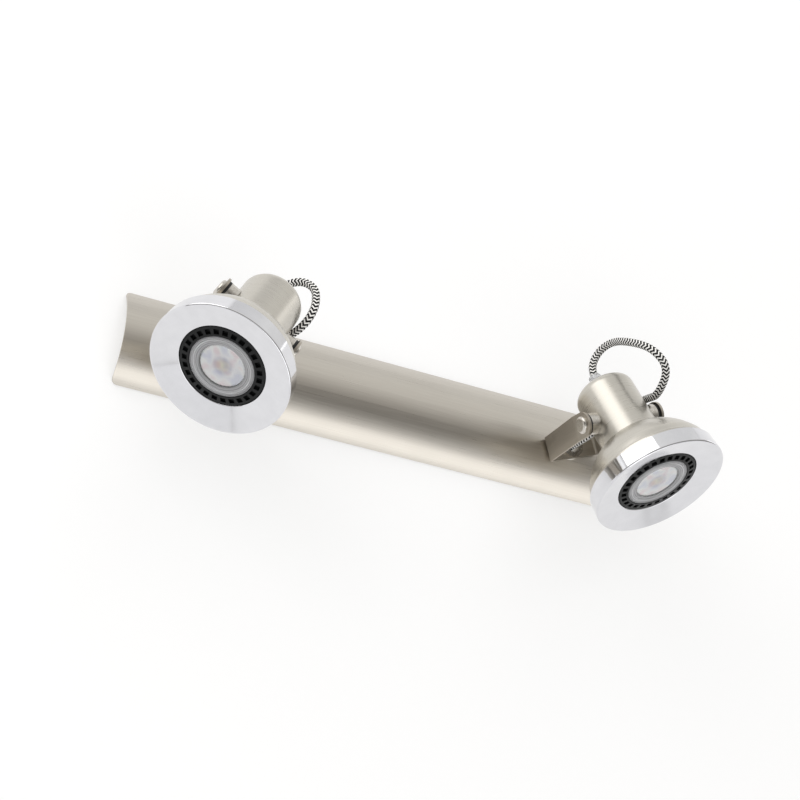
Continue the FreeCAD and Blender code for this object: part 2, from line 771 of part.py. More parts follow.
def make_pivot_spacers(side):
    """Turned spacers, hollowed at one end to sit on the round neck."""
    body = new_body(f"{side}_spacer_body")
    length = f"({RUBBER_INNER} - seat_gap - neck_radius / 2)"
    starts = ("neck_radius / 2", f"-({RUBBER_INNER} - seat_gap)")
    pair_along_pivot(body, starts, length, ("spacer_radius",))
    seat = sketch_on(body, "XZ_Plane")
    circle(seat, "neck_radius + plug_fit")
    pocket(body, seat, "neck_radius * 2", both_ways=True)
    bore = sketch_on(body, "YZ_Plane")
    circle(bore, "pivot_screw_radius + thread_fit")
    pocket(body, bore, "yoke_reach * 3", both_ways=True)
    return keep(body, f"{side}_pivot_spacers", head_place(side))


def make_pivot_screws(side):
    """Two domed screws, the tilt joint's axles."""
    body = new_body(f"{side}_screw_body")
    shank = f"(yoke_reach + seat_gap + pivot_head_height / 2 - {SCREW_END})"
    pair_along_pivot(body, (SCREW_END, f"-({SCREW_END} + {shank})"), shank, ("pivot_screw_radius",))
    heads = ("yoke_reach + seat_gap", "-(yoke_reach + seat_gap + pivot_head_height)")
    pair_along_pivot(body, heads, "pivot_head_height", ("pivot_head_radius",))
    tip = size("yoke_reach") + size("seat_gap") + size("pivot_head_height")
    near = NEAR_share * size("yoke_reach")

    def on_top(edge):
        box = edge.BoundBox
        return box.XLength < near and abs(abs(box.XMin) - tip) < near

    round_edges(body, body.Tip, "pivot_head_round", on_top)
    return keep(body, f"{side}_pivot_screws", head_place(side))


def make_pivot_nuts(side):
    """Two thin nuts on the pivot screws, inside the neck."""
    body = new_body(f"{side}_pivot_nut_body")
    for start in (SCREW_END, f"-{STRAP_INNER}"):
        pad(body, hexagon(sketch_on(body, "YZ_Plane", start), "pivot_nut_flats"), "pivot_nut_height")
    bore = sketch_on(body, "YZ_Plane")
    circle(bore, "pivot_screw_radius + thread_fit")
    pocket(body, bore, "yoke_reach * 3", both_ways=True)
    return keep(body, f"{side}_pivot_nuts", head_place(side))


def make_neck(side):
    """Round can behind the bell, with a rounded shoulder and the cable's hole in its end."""
    body = new_body(f"{side}_neck_body")
    turned = lathe(body, [
        ("gland_radius + seat_gap", "-neck_rear"),
        ("neck_radius", "-neck_rear"),
        ("neck_radius", "neck_seam"),
        ("neck_radius - neck_wall", "neck_seam"),
        ("neck_radius - neck_wall", f"-{NECK_FLOOR}"),
        ("gland_radius + seat_gap", f"-{NECK_FLOOR}"),
    ])
    outer = ring_edge_at(size("neck_radius"), -size("neck_rear"))
    turned = round_edges(body, turned, "neck_shoulder", outer)
    inner = ring_edge_at(size("neck_radius") - size("neck_wall"), size("neck_wall") - size("neck_rear"))
    round_edges(body, turned, "neck_shoulder - neck_wall", inner)
    pivots = sketch_on(body, "YZ_Plane")
    circle(pivots, "pivot_screw_radius + thread_fit")
    pocket(body, pivots, "yoke_reach * 3", both_ways=True)
    return keep(body, f"{side}_neck", head_place(side))


def bell_curve(inset):
    """The bell's curve as (radius, depth) points, moved inwards by the wall, with end tangents."""
    rise = size("bell_front_radius") - size("neck_radius")
    run = size("ring_rear") - size("bell_start")
    points = []
    tangents = []
    for step in range(BELL_STEPS + 1):
        turn = math.pi / 2 * step / BELL_STEPS
        sine = max(math.sin(turn), 0)
        cosine = max(math.cos(turn), 0)
        radius = size("neck_radius") + rise * sine ** (2 / BELL_POWER)
        depth = size("bell_start") + run * (1 - cosine ** (2 / BELL_POWER))
        slope = Vector(rise * cosine ** (1 / BELL_POWER), run * sine ** (1 / BELL_POWER), 0).normalize()
        points.append(Vector(radius - inset * slope.y, -(depth + inset * slope.x), 0))
        tangents.append(Vector(slope.x, -slope.y, 0))
    curve = Part.BSplineCurve()
    curve.interpolate(Points=points, InitialTangent=tangents[0], FinalTangent=tangents[-1])
    return curve


def bell_inside(depth):
    """The bell's inner radius at a depth."""
    curve = bell_curve(size("bell_wall"))
    level = Part.Line(Vector(0, -depth, 0), Vector(size("bar_length"), -depth, 0))
    return curve.intersect(level)[0].X


def make_bell(side):
    """Spun bell: a short collar that plugs into the neck, then a quick, full flare."""
    neck = size("neck_radius")
    inner = neck - size("neck_wall")
    plug = inner - size("plug_fit")
    seam = size("neck_seam")
    plug_end = seam - size("bell_spigot")
    outside = bell_curve(0)
    inside = bell_curve(size("bell_wall"))
    rear_of_flare = size("bell_start") + size("bell_wall")
    corners = [
        Vector(inside.StartPoint.x, inside.StartPoint.y, 0),
        Vector(inner, -rear_of_flare, 0),
        Vector(inner, -seam - size("neck_wall"), 0),
        Vector(plug - size("bell_wall"), -seam, 0),
        Vector(plug - size("bell_wall"), -plug_end, 0),
        Vector(plug, -plug_end, 0),
        Vector(plug, -seam, 0),
        Vector(neck, -seam, 0),
        Vector(neck, -size("bell_start"), 0),
    ]
    edges = [outside.toShape(), Part.makeLine(outside.EndPoint, inside.EndPoint), inside.toShape()]
    for here, after in zip(corners, corners[1:]):
        edges.append(Part.makeLine(here, after))
    outline = Part.Wire(Part.__sortEdges__(edges))
    shell = Part.Face(outline).revolve(Vector(0, 0, 0), Vector(0, 1, 0), 360)
    item = doc.addObject("Part::Feature", f"{side}_bell_shape")
    item.Shape = shell
    return keep(item, f"{side}_bell", head_place(side))


def make_chrome_ring(side):
    """Front ring: dished face, short side wall and a spigot that plugs into the bell."""
    body = new_body(f"{side}_ring_body")
    spigot = f"{bell_inside(size('ring_rear') - size('ring_spigot')) - size('plug_fit'):.6f}"
    turned = lathe(body, [
        ("ring_opening", "ring_front - ring_dish"),
        (RING_FRONT_RADIUS, "ring_front"),
        (RING_REAR_RADIUS, "ring_rear"),
        (spigot, "ring_rear"),
        (spigot, "ring_rear - ring_spigot"),
        (f"{spigot} - ring_wall", "ring_rear - ring_spigot"),
        (f"{spigot} - ring_wall", "ring_rear + ring_wall"),
        (f"{RING_REAR_RADIUS} - ring_wall", "ring_rear + ring_wall"),
        (f"{RING_REAR_RADIUS} - ring_wall", "ring_front - ring_wall"),
        ("ring_opening", "ring_front - ring_dish - ring_wall"),
    ])
    front_radius = size("bell_front_radius") + size("ring_overhang") + size("ring_side_draft")
    front = ring_edge_at(front_radius, size("ring_front"))
    turned = round_edges(body, turned, "ring_edge_round", front)
    lip = ring_edge_at(size("ring_opening"), size("ring_front") - size("ring_dish"))
    round_edges(body, turned, "ring_lip_round", lip)
    return keep(body, f"{side}_chrome_ring", head_place(side))


def make_rear_gland(side):
    """Clear bush that carries the cable through the neck's end."""
    body = new_body(f"{side}_gland_body")
    turned = lathe(body, [
        ("cord_radius + pivot_fit", "-neck_rear - gland_proud"),
        ("gland_radius", "-neck_rear - gland_proud"),
        ("gland_radius", f"-{NECK_FLOOR} + seat_gap"),
        ("gland_flange", f"-{NECK_FLOOR} + seat_gap"),
        ("gland_flange", f"-{NECK_FLOOR} + seat_gap + gland_flange_wall"),
        ("cord_radius + pivot_fit", f"-{NECK_FLOOR} + seat_gap + gland_flange_wall"),
    ])
    tip = ring_edge_at(size("gland_radius"), -size("neck_rear") - size("gland_proud"))
    round_edges(body, turned, "gland_round", tip)
    return keep(body, f"{side}_rear_gland", head_place(side))


def make_head_cable(side):
    """The cable's straight end, from the bush to the lampholder."""
    body = new_body(f"{side}_head_cable_body")
    core = sketch_on(body, "XZ_Plane", "seat_gap - cord_end")
    circle(core, "cord_radius")
    pad(body, core, f"cord_end - seat_gap + {HOLDER_BACK} + holder_cable_depth - socket_fit")
    return keep(body, f"{side}_head_cable", head_place(side))


def make_lampholder(side):
    """Ceramic two-pin holder."""
    body = new_body(f"{side}_holder_body")
    block = sketch_on(body, "XZ_Plane", HOLDER_BACK)
    circle(block, "holder_radius")
    pad(body, block, "holder_length")
    sockets = sketch_on(body, "XZ_Plane", HOLDER_FRONT)
    for sign in ("-", ""):
        circle(sockets, "pin_head_radius + socket_fit", "0", f"{sign}pin_pitch / 2")
    pocket(body, sockets, "holder_socket_depth")
    entry = sketch_on(body, "XZ_Plane", f"{HOLDER_BACK} + holder_cable_depth")
    circle(entry, "cord_radius + pivot_fit")
    pocket(body, entry, "holder_cable_depth + cut_overrun")
    return keep(body, f"{side}_lampholder", head_place(side))


def make_holder_bracket(side):
    """Bent strap behind the lampholder, its legs held by the pivot screws."""
    body = new_body(f"{side}_strap_body")
    front = "(neck_seam - bell_spigot - socket_fit)"
    outline = [
        ("-strap_reach", f"{STRAP_FRONT} - strap_wall"),
        ("strap_reach", f"{STRAP_FRONT} - strap_wall"),
        ("strap_reach", front),
        (STRAP_INNER, front),
        (STRAP_INNER, STRAP_FRONT),
        (f"-{STRAP_INNER}", STRAP_FRONT),
        (f"-{STRAP_INNER}", front),
        ("-strap_reach", front),
    ]
    sketch = polygon(sketch_on(body, "XY_Plane"), [(across, f"-({depth})") for across, depth in outline])
    pad(body, sketch, "strap_width", both_ways=True)
    pivots = sketch_on(body, "YZ_Plane")
    circle(pivots, "pivot_screw_radius + thread_fit")
    pocket(body, pivots, "yoke_reach * 3", both_ways=True)
    hole = sketch_on(body, "XZ_Plane", f"{STRAP_FRONT} + cut_overrun")
    circle(hole, "strap_cable_hole")
    pocket(body, hole, "strap_wall + cut_overrun * 2")
    return keep(body, f"{side}_holder_bracket", head_place(side))


def make_lamp_body(side):
    """Reflector-shaped lamp housing with a pocket in its face."""
    body = new_body(f"{side}_lamp_shell")
    outline = [("0", LAMP_BASE)]
    for radius_share, length_share in zip(LAMP_RADIUS_shares, LAMP_LENGTH_shares):
        outline.append((f"lamp_radius * {radius_share}", f"{LAMP_BASE} + lamp_length * {length_share}"))
    outline += [
        (f"lamp_radius * {LAMP_RADIUS_shares[-1]}", f"{BEZEL_BACK} - seat_gap"),
        ("bezel_inner + seat_gap", f"{BEZEL_BACK} - seat_gap"),
        ("bezel_inner + seat_gap", f"{OPTIC_BACK} - seat_gap"),
        ("0", f"{OPTIC_BACK} - seat_gap"),
    ]
    lathe(body, outline)
    return keep(body, f"{side}_lamp_body", head_place(side))


def make_lamp_bezel(side):
    """Slotted front rim of the lamp."""
    body = new_body(f"{side}_bezel_body")
    turned = lathe(body, [
        ("bezel_inner", BEZEL_BACK),
        ("lamp_radius", BEZEL_BACK),
        ("lamp_radius", LAMP_FACE),
        ("bezel_inner", BEZEL_CREST),
    ])
    crest = size("ring_front") - size("lamp_recess") + size("bezel_crown")
    turned = round_edges(body, turned, "bezel_round", ring_edge_at(size("bezel_inner"), crest))
    slot = rectangle(sketch_on(body, "XZ_Plane", BEZEL_CREST), "bezel_slot_start", "bezel_slot_end",
                     "-bezel_slot_width / 2", "bezel_slot_width / 2")
    cut = pocket(body, slot, "bezel_crown + bezel_slot_depth")
    ring = body.newObject("PartDesign::PolarPattern", "Slots")
    ring.Originals = [cut]
    ring.Axis = (slot, ["N_Axis"])
    ring.Angle = 360
    bind(ring, "Occurrences", "bezel_slots")
    body.Tip = ring
    return keep(body, f"{side}_lamp_bezel", head_place(side))


def make_lamp_lens(side):
    """Clear front lens with a raised rim."""
    body = new_body(f"{side}_lens_body")
    lathe(body, [
        ("0", LENS_BACK),
        ("bezel_inner - seat_gap", LENS_BACK),
        ("bezel_inner - seat_gap", f"{LENS_FRONT} + lens_rim_height"),
        ("bezel_inner - seat_gap - lens_rim", f"{LENS_FRONT} + lens_rim_height"),
        ("bezel_inner - seat_gap - lens_rim", LENS_FRONT),
        ("0", LENS_FRONT),
    ])
    return keep(body, f"{side}_lamp_lens", head_place(side))


def make_lamp_optic(side):
    """Round light source behind the lens."""
    body = new_body(f"{side}_optic_body")
    disc = sketch_on(body, "XZ_Plane", OPTIC_BACK)
    circle(disc, "optic_radius")
    pad(body, disc, "optic_thickness")
    return keep(body, f"{side}_lamp_optic", head_place(side))


def make_lamp_pins(side):
    """Two headed contact pins."""
    body = new_body(f"{side}_pins_body")
    for start, length, radius in (
        (f"{LAMP_BASE} - seat_gap - pin_length", "pin_length", "pin_radius"),
        (f"{LAMP_BASE} - seat_gap - pin_length", "pin_head_height", "pin_head_radius"),
    ):
        stems = sketch_on(body, "XZ_Plane", start)
        for sign in ("-", ""):
            circle(stems, radius, "0", f"{sign}pin_pitch / 2")
        pad(body, stems, length)
    return keep(body, f"{side}_lamp_pins", head_place(side))


def tube_route(points):
    """Straight runs joined by arcs that touch them, each as large as its two runs allow."""
    edges = []
    radii = []
    here = points[0]
    for before, corner, after in zip(points, points[1:], points[2:]):
        back = (before - corner).normalize()
        ahead = (after - corner).normalize()
        half_turn = (math.pi - back.getAngle(ahead)) / 2
        reach = RUN_share * min((before - corner).Length, (after - corner).Length)
        radius = reach / math.tan(half_turn)
        start = corner + back * reach
        end = corner + ahead * reach
        middle_way = (back + ahead).normalize()
        centre = corner + middle_way * (radius / math.cos(half_turn))
        edges.append(Part.LineSegment(here, start).toShape())
        edges.append(Part.Arc(start, centre - middle_way * radius, end).toShape())
        radii.append(round(radius, 1))
        here = end
    edges.append(Part.LineSegment(here, points[-1]).toShape())
    return Part.Wire(edges), radii


RUN_share = 0.45


def make_tube(name, points, radius, place):
    """A round tube along a route, with its radii and volume printed."""
    path, radii = tube_route(points)
    section = Part.Wire(Part.makeCircle(radius, points[0], points[1] - points[0]))
    tube = path.makePipeShell([section], True, False)
    if tube.Volume < 0:
        tube.reverse()
    print(name, "length", round(path.Length, 1), "radii", radii,
          "volume share", round(tube.Volume / (math.pi * radius ** 2 * path.Length), 4))
    item = doc.addObject("Part::Feature", f"{name}_shape")
    item.Shape = tube
    return keep(item, name, place)


def make_cable_loop(side):
    """The braided cable's free stretch, out of the nipple, round the neck and into the bush."""
    tilt_out = size("bar_rise") + size("tilt_above_crest")
    start = Vector(0, -size("cord_start"), 0)
    points = [Vector(across, -(tilt_out + out), up) for across, up, out in LOOP_POINTS[side]]
    lean = math.radians(TILT_DEGREES[side])
    reach = size("cord_end")
    end = Vector(0, reach * math.cos(lean) - tilt_out, reach * math.sin(lean))
    return make_tube(f"{side}_cable_loop", [start] + points + [end], size("cord_radius"), yoke_place(side))


def make_inner_lead(side):
    """The cable's inner lead, from the nipple to the terminal block."""
    sign = SIGN[side]
    start = Vector(sign * head_along(), -size("cord_start"), 0)
    points = [Vector(sign * along, -out, up) for along, out, up in LEAD_POINTS]
    return make_tube(f"{side}_inner_lead", [start] + points, size("lead_radius"), Placement())


make_bar_cover()
make_hanging_bridges()
make_wall_bracket()
make_supply_grommet()
make_terminal_block()
make_terminal_clamps()
flush_screw("terminal_screw", "block_screw_radius", "block_screw_head", "block_screw_head_height",
            "block_length / 3", "pole_pitch / 2", "(bracket_wall + block_height)")
flush_screw("earth_screw", "earth_screw_radius", "earth_head_radius", "earth_head_height",
            "earth_screw_offset", "earth_screw_height", "bracket_wall")
for side in SIGN:
    saddle(f"{side}_friction_washer", side, "(bar_rise / 2)", f"({BASE_BACK} - seat_gap)",
           "bar_radius + seat_gap", outside=True)
    saddle(f"{side}_inner_pad", side, PAD_FLAT, "bar_rise",
           "bar_radius - bar_wall - seat_gap", outside=False)
    make_stop_lug(side)
    make_inner_lead(side)
    make_yoke(side)
    make_nipple(side)
    make_ring_nut(side)
    make_inner_nut(side)
    make_stop_washer(side)
    make_rubber_washers(side)
    make_cable_loop(side)
    make_neck(side)
    make_bell(side)
    make_chrome_ring(side)
    make_pivot_spacers(side)
    make_pivot_screws(side)
    make_pivot_nuts(side)
    make_rear_gland(side)
    make_head_cable(side)
    make_lampholder(side)
    make_holder_bracket(side)
    make_lamp_body(side)
    make_lamp_bezel(side)
    make_lamp_lens(side)
    make_lamp_optic(side)
    make_lamp_pins(side)

doc.recompute()
for item in doc.Objects:
    if "Invalid" in item.State or "Error" in item.State:
        raise RuntimeError(f"{item.Label}: {item.State}")
for item in PIECES:
    if item.Shape.isNull() or not item.Shape.isValid() or not item.Shape.Solids:
        raise RuntimeError(f"{item.Label} has no valid solid")

os.makedirs("parts", exist_ok=True)
for item in PIECES:
    item.Shape.exportStep(f"parts/{item.Label}.step")
    print(item.Label, len(item.Shape.Solids), round(item.Shape.Volume, 1))
print(len(PIECES), "pieces")
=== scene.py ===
import bmesh
import bpy
import math
from mathutils import Matrix, Vector


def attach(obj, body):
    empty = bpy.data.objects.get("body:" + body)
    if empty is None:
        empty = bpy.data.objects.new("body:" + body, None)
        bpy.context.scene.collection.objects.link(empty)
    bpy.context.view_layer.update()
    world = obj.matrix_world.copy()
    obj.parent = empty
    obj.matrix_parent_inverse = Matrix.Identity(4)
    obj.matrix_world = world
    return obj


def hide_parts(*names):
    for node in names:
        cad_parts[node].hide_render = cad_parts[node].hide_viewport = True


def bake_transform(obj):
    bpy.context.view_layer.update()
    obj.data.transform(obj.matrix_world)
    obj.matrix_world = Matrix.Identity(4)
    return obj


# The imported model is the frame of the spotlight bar: origin in the wall plane at the bar's
# centre, +X along the bar, -Y out into the room, +Z up, in metres.
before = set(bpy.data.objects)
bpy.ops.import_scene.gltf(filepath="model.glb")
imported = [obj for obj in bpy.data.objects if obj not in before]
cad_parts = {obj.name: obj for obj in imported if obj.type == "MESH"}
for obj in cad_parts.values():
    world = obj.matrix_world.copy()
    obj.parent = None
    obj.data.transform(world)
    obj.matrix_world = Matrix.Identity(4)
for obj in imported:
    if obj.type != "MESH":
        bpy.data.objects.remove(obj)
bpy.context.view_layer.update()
SIDES = ("left", "right")

# The photographer's view
# A long lens, 1.2 m off, low and to the left of the bar, and held a little tilted. The small
# shift puts the bar where it stands in the photograph.
VIEW_DISTANCE = 1.204
view = bpy.data.cameras.new("view")
view.lens = 88.7
view.sensor_width = 36
view.shift_x = 0.0107
view.shift_y = 0.0113
camera = bpy.data.objects.new("camera", view)
camera_right = Vector((0.9045, -0.4133, 0.1051))
camera_up = Vector((-0.2380, -0.2847, 0.9286))
camera_back = Vector((-0.3538, -0.8650, -0.3559))
camera.location = VIEW_DISTANCE * camera_back
camera.rotation_euler = Matrix((camera_right, camera_up, camera_back)).transposed().to_euler()
bpy.context.scene.collection.objects.link(camera)
bpy.context.scene.camera = camera

# The cable loops
# Each head is fed by a round mains cable in a black and white cotton braid. It leaves the hollow
# swivel pin, comes forward past the yoke and turns over the head into the clear bush behind it.
HEAD_ALONG = 0.117
TILT_OUT = 0.07537
SWIVEL_DEGREES = {"left": -28.8, "right": 21.5}
TILT_DEGREES = {"left": 68.0, "right": 65.0}
CABLE_RADIUS = 0.00235
CABLE_START = 0.012
CABLE_END = 0.031
# each loop's way along its curve
CABLE_SIDES = 32
STEPS_PER_POINT = 48
# heights above the swivel axis, between which the cable passes from the yoke to the head
# points about the tilt axis: along it, up across the bar, out from the wall
LOOP_POINTS = {
    "left": [
        (0, 0, -0.0500),
        (0.0045, 0.0026, -0.0360),
        (0.0155, 0.0092, -0.0255),
        (0.0197, 0.0127, -0.0188),
        (0.0215, 0.0161, -0.0105),
        (0.0221, 0.0190, -0.0056),
        (0.0221, 0.0228, -0.0023),
        (0.0214, 0.0277, -0.0008),
        (0.0195, 0.0343, -0.0011),
        (0.0144, 0.0429, -0.0042),
        (0.0062, 0.0450, -0.0110),
        (0, 0.0371, -0.0150),
    ],
    "right": [
        (0, 0, -0.0500),
        (0.0045, 0.0026, -0.0360),
        (0.0155, 0.0092, -0.0255),
        (0.0216, 0.0108, -0.0100),
        (0.0216, 0.0098, 0.0040),
        (0.0199, 0.0081, 0.0162),
        (0.0225, 0.0201, 0.0305),
        (0.0155, 0.0337, 0.0300),
        (0.0116, 0.0433, 0.0151),
        (0.0123, 0.0500, -0.0052),
        (0.0069, 0.0464, -0.0158),
        (0, 0.0363, -0.0169),
    ],
}


def yoke_frame(side):
    """Where a yoke's own frame stands: on its swivel axis, in the wall plane."""
    along = -HEAD_ALONG if side == "left" else HEAD_ALONG
    turn = Matrix.Rotation(math.radians(SWIVEL_DEGREES[side]), 4, (0, -1, 0))
    return Matrix.Translation((along, 0, 0)) @ turn


def head_frame(side):
    """Where a head's own frame stands: on its tilt axis, the lamp shining along its -Y."""
    tip = Matrix.Rotation(math.radians(TILT_DEGREES[side]), 4, "X")
    return yoke_frame(side) @ Matrix.Translation((0, -TILT_OUT, 0)) @ tip


def spline_object(name, points, steps):
    """A smooth curve with the given points as its control points."""
    curve = bpy.data.curves.new(name, "CURVE")
    curve.dimensions = "3D"
    curve.resolution_u = steps
    spline = curve.splines.new("NURBS")
    spline.points.add(len(points) - 1)
    for point, place in zip(spline.points, points):
        point.co = (*place, 1)
    spline.order_u = 3
    spline.use_endpoint_u = True
    made = bpy.data.objects.new(name, curve)
    bpy.context.scene.collection.objects.link(made)
    return made


def line_of(curve_object):
    """The points along a curve that has no bevel; the curve itself is then done with."""
    mesh = bpy.data.meshes.new_from_object(curve_object)
    points = [vertex.co.copy() for vertex in mesh.vertices]
    bpy.data.objects.remove(curve_object)
    return points


def braided_tube(name, line, radius, around, start_turn):
    """A tube along a line. Its UV map counts girths along the cable, and turns round it; the
    start turn sets how the braid is twisted about the cable."""
    girth = 2 * math.pi * radius
    mesh = bpy.data.meshes.new(name)
    bm = bmesh.new()
    uv = bm.loops.layers.uv.new("braid")
    heading = (line[1] - line[0]).normalized()
    side_way = heading.orthogonal().normalized()
    rings, travelled, gone = [], [], 0.0
    for number, centre in enumerate(line):
        ahead = line[min(number + 1, len(line) - 1)] - line[max(number - 1, 0)]
        turn = heading.rotation_difference(ahead.normalized())
        heading, side_way = ahead.normalized(), turn @ side_way
        other_way = heading.cross(side_way)
        if number:
            gone += (centre - line[number - 1]).length
        travelled.append(gone / girth)
        ring = []
        for step in range(around):
            angle = 2 * math.pi * step / around
            out = math.cos(angle) * side_way + math.sin(angle) * other_way
            ring.append(bm.verts.new(centre + radius * out))
        rings.append(ring)
    for number in range(len(rings) - 1):
        for step in range(around):
            after = (step + 1) % around
            this_ring, next_ring = rings[number], rings[number + 1]
            face = bm.faces.new((this_ring[step], this_ring[after], next_ring[after], next_ring[step]))
            face.smooth = True
            turn_low = start_turn + step / around
            turn_high = turn_low + 1 / around
            turns = (turn_low, turn_high, turn_high, turn_low)
            gone_low, gone_high = travelled[number], travelled[number + 1]
            girths = (gone_low, gone_low, gone_high, gone_high)
            for loop, u, v in zip(face.loops, girths, turns):
                loop[uv].uv = (u, v)
    for ring in (rings[0], rings[-1]):
        bm.faces.new(ring)
    bmesh.ops.recalc_face_normals(bm, faces=bm.faces)
    bm.to_mesh(mesh)
    bm.free()
    made = bpy.data.objects.new(name, mesh)
    bpy.context.scene.collection.objects.link(made)
    return made


def linear(colour):
    """The linear colour of an sRGB hex value."""
    shares = [int(colour[at:at + 2], 16) / 255 for at in (1, 3, 5)]
    return (*[s / 12.92 if s <= 0.04045 else ((s + 0.055) / 1.055) ** 2.4 for s in shares], 1)


def add_node(material, kind, settings=None, inputs=None):
    """One node with its settings, and each input either linked or given its value."""
    node = material.node_tree.nodes.new(kind)
    for name, value in (settings or {}).items():
        setattr(node, name, value)
    for name, value in (inputs or {}).items():
        if isinstance(value, bpy.types.NodeSocket):
            material.node_tree.links.new(value, node.inputs[name])
        else:
            node.inputs[name].default_value = value
    return node


def new_material(name):
    """An empty material, ready for its nodes."""
    material = bpy.data.materials.new(name)
    material.use_nodes = True
    material.node_tree.nodes.clear()
    return material


def ramp_between(node, stops):
    """Set a colour ramp's stops, as places and colours."""
    elements = node.color_ramp.elements
    while len(elements) < len(stops):
        elements.new(0.5)
    for element, (place, colour) in zip(elements, stops):
        element.position = place
        element.color = linear(colour)


# Cotton braid, woven on the cable by a herringbone braider: carriers of black and white yarn
# cross, so the stripes zigzag four times round. Matt, with a soft ridge for each yarn bundle.
ZIGZAGS_ROUND = 4.0
# one black and one white stripe take 2.2 mm of the cable, about a seventh of its girth
STRIPES_PER_GIRTH = 6.6
# how many pairs of stripes they would climb in a zigzag's width if they didn't turn back
ZIGZAG_LEAN = 1.3
BRAID_START_TURN = {"left": 0.125, "right": 0.0}
braid = new_material("black_and_white_cotton_braid")
run = add_node(braid, "ShaderNodeSeparateXYZ", {}, {
    "Vector": add_node(braid, "ShaderNodeUVMap", {"uv_map": "braid"}).outputs["UV"],
})
round_run = add_node(braid, "ShaderNodeMath", {"operation": "MULTIPLY"}, {
    0: run.outputs["Y"], 1: ZIGZAGS_ROUND,
})
zigzag = add_node(braid, "ShaderNodeMath", {"operation": "PINGPONG"}, {0: round_run.outputs[0], 1: 0.5})
zigzag_shift = add_node(braid, "ShaderNodeMath", {"operation": "MULTIPLY"}, {
    0: zigzag.outputs[0], 1: ZIGZAG_LEAN,
})
stripe_run = add_node(braid, "ShaderNodeMath", {"operation": "MULTIPLY_ADD"}, {
    0: run.outputs["X"], 1: STRIPES_PER_GIRTH, 2: zigzag_shift.outputs[0],
})
stripe = add_node(braid, "ShaderNodeMath", {"operation": "FRACT"}, {0: stripe_run.outputs[0]})
yarn_colour = add_node(braid, "ShaderNodeValToRGB", {}, {"Fac": stripe.outputs[0]})
ramp_between(yarn_colour, [
    (0.0, "#6E6C69"), (0.03, "#FFFEFB"), (0.40, "#FBFAF6"), (0.43, "#3A3836"), (0.46, "#060607"),
    (0.97, "#060607"),
])
fluff = add_node(braid, "ShaderNodeTexNoise", {}, {
    "Vector": add_node(braid, "ShaderNodeTexCoord").outputs["Object"],
    # cotton fibre is 0.02 mm thick; drawn as 0.15 mm tufts, which show
    "Scale": 6500.0,
    "Detail": 3.0,
})
soft_colour = add_node(braid, "ShaderNodeMix", {"data_type": "RGBA", "blend_type": "OVERLAY"}, {
    0: 0.06, 6: yarn_colour.outputs["Color"], 7: fluff.outputs["Color"],
})
ridge = add_node(braid, "ShaderNodeMath", {"operation": "PINGPONG"}, {0: stripe_run.outputs[0], 1: 0.25})
ridge_height = add_node(braid, "ShaderNodeMath", {"operation": "MULTIPLY_ADD"}, {
    0: ridge.outputs[0], 1: 4.0, 2: fluff.outputs["Fac"],
})
braid_shader = add_node(braid, "ShaderNodeBsdfPrincipled", {}, {
    "Base Color": soft_colour.outputs[2],
    "Roughness": 0.85,
    "Sheen Weight": 0.03,
    "Sheen Roughness": 0.4,
    "Normal": add_node(braid, "ShaderNodeBump", {}, {
        "Strength": 0.6, "Distance": 0.00015, "Height": ridge_height.outputs[0],
    }).outputs[0],
})
add_node(braid, "ShaderNodeOutputMaterial", {}, {"Surface": braid_shader.outputs[0]})

for side in SIDES:
    yoke = yoke_frame(side)
    start = yoke @ Vector((0, -CABLE_START, 0))
    turns = [yoke @ Vector((along, -(TILT_OUT + out), up)) for along, up, out in LOOP_POINTS[side]]
    end = head_frame(side) @ Vector((0, CABLE_END, 0))
    line = line_of(spline_object(f"{side}_loop_line", [start, *turns, end], STEPS_PER_POINT))
    loop = braided_tube(f"{side}_braided_loop", line, CABLE_RADIUS, CABLE_SIDES, BRAID_START_TURN[side])
    loop.data.materials.append(braid)
    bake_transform(loop)
    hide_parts(f"{side}_cable_loop")

# The inner leads
# Inside the bar each cable goes on without its braid, as a slim white sheathed lead from the
# swivel pin down to the terminal block.
LEAD_RADIUS = 0.0013
LEAD_STEPS_PER_POINT = 16
LEAD_ROUNDNESS = 6
# points inside the bar: along it, out from the wall, up
LEAD_POINTS = [
    (HEAD_ALONG, 0.0030, 0),
    (0.1085, 0.0036, -0.0020),
    (0.100, 0.0078, -0.0060),
    (0.088, 0.0076, -0.0090),
    (0.071, 0.0068, -0.0090),
    (0.050, 0.0056, -0.0072),
    (0.032, 0.0049, -0.0056),
    (0.018, 0.0047, -0.0050),
    (0.009, 0.0047, -0.0050),
]

# Extruded PVC sheath: dull white, with faint drag lines from the die along it and a soft gloss.
sheath = new_material("extruded_white_pvc")
drag_run = add_node(sheath, "ShaderNodeMapping", {}, {
    "Vector": add_node(sheath, "ShaderNodeTexCoord").outputs["Object"],
    # lines about 0.7 mm apart, drawn out to 17 mm
    "Scale": (60, 1500, 1500),
})
drag = add_node(sheath, "ShaderNodeTexNoise", {}, {
    "Vector": drag_run.outputs[0], "Scale": 1.0, "Detail": 2.0,
})
sheath_tone = add_node(sheath, "ShaderNodeValToRGB", {}, {"Fac": drag.outputs["Fac"]})
ramp_between(sheath_tone, [(0.3, "#D8D5CC"), (0.7, "#E6E4DD")])
sheath_shader = add_node(sheath, "ShaderNodeBsdfPrincipled", {}, {
    "Base Color": sheath_tone.outputs["Color"],
    "Roughness": 0.42,
    "Normal": add_node(sheath, "ShaderNodeBump", {}, {
        "Strength": 0.15, "Distance": 0.00005, "Height": drag.outputs["Fac"],
    }).outputs[0],
})
add_node(sheath, "ShaderNodeOutputMaterial", {}, {"Surface": sheath_shader.outputs[0]})

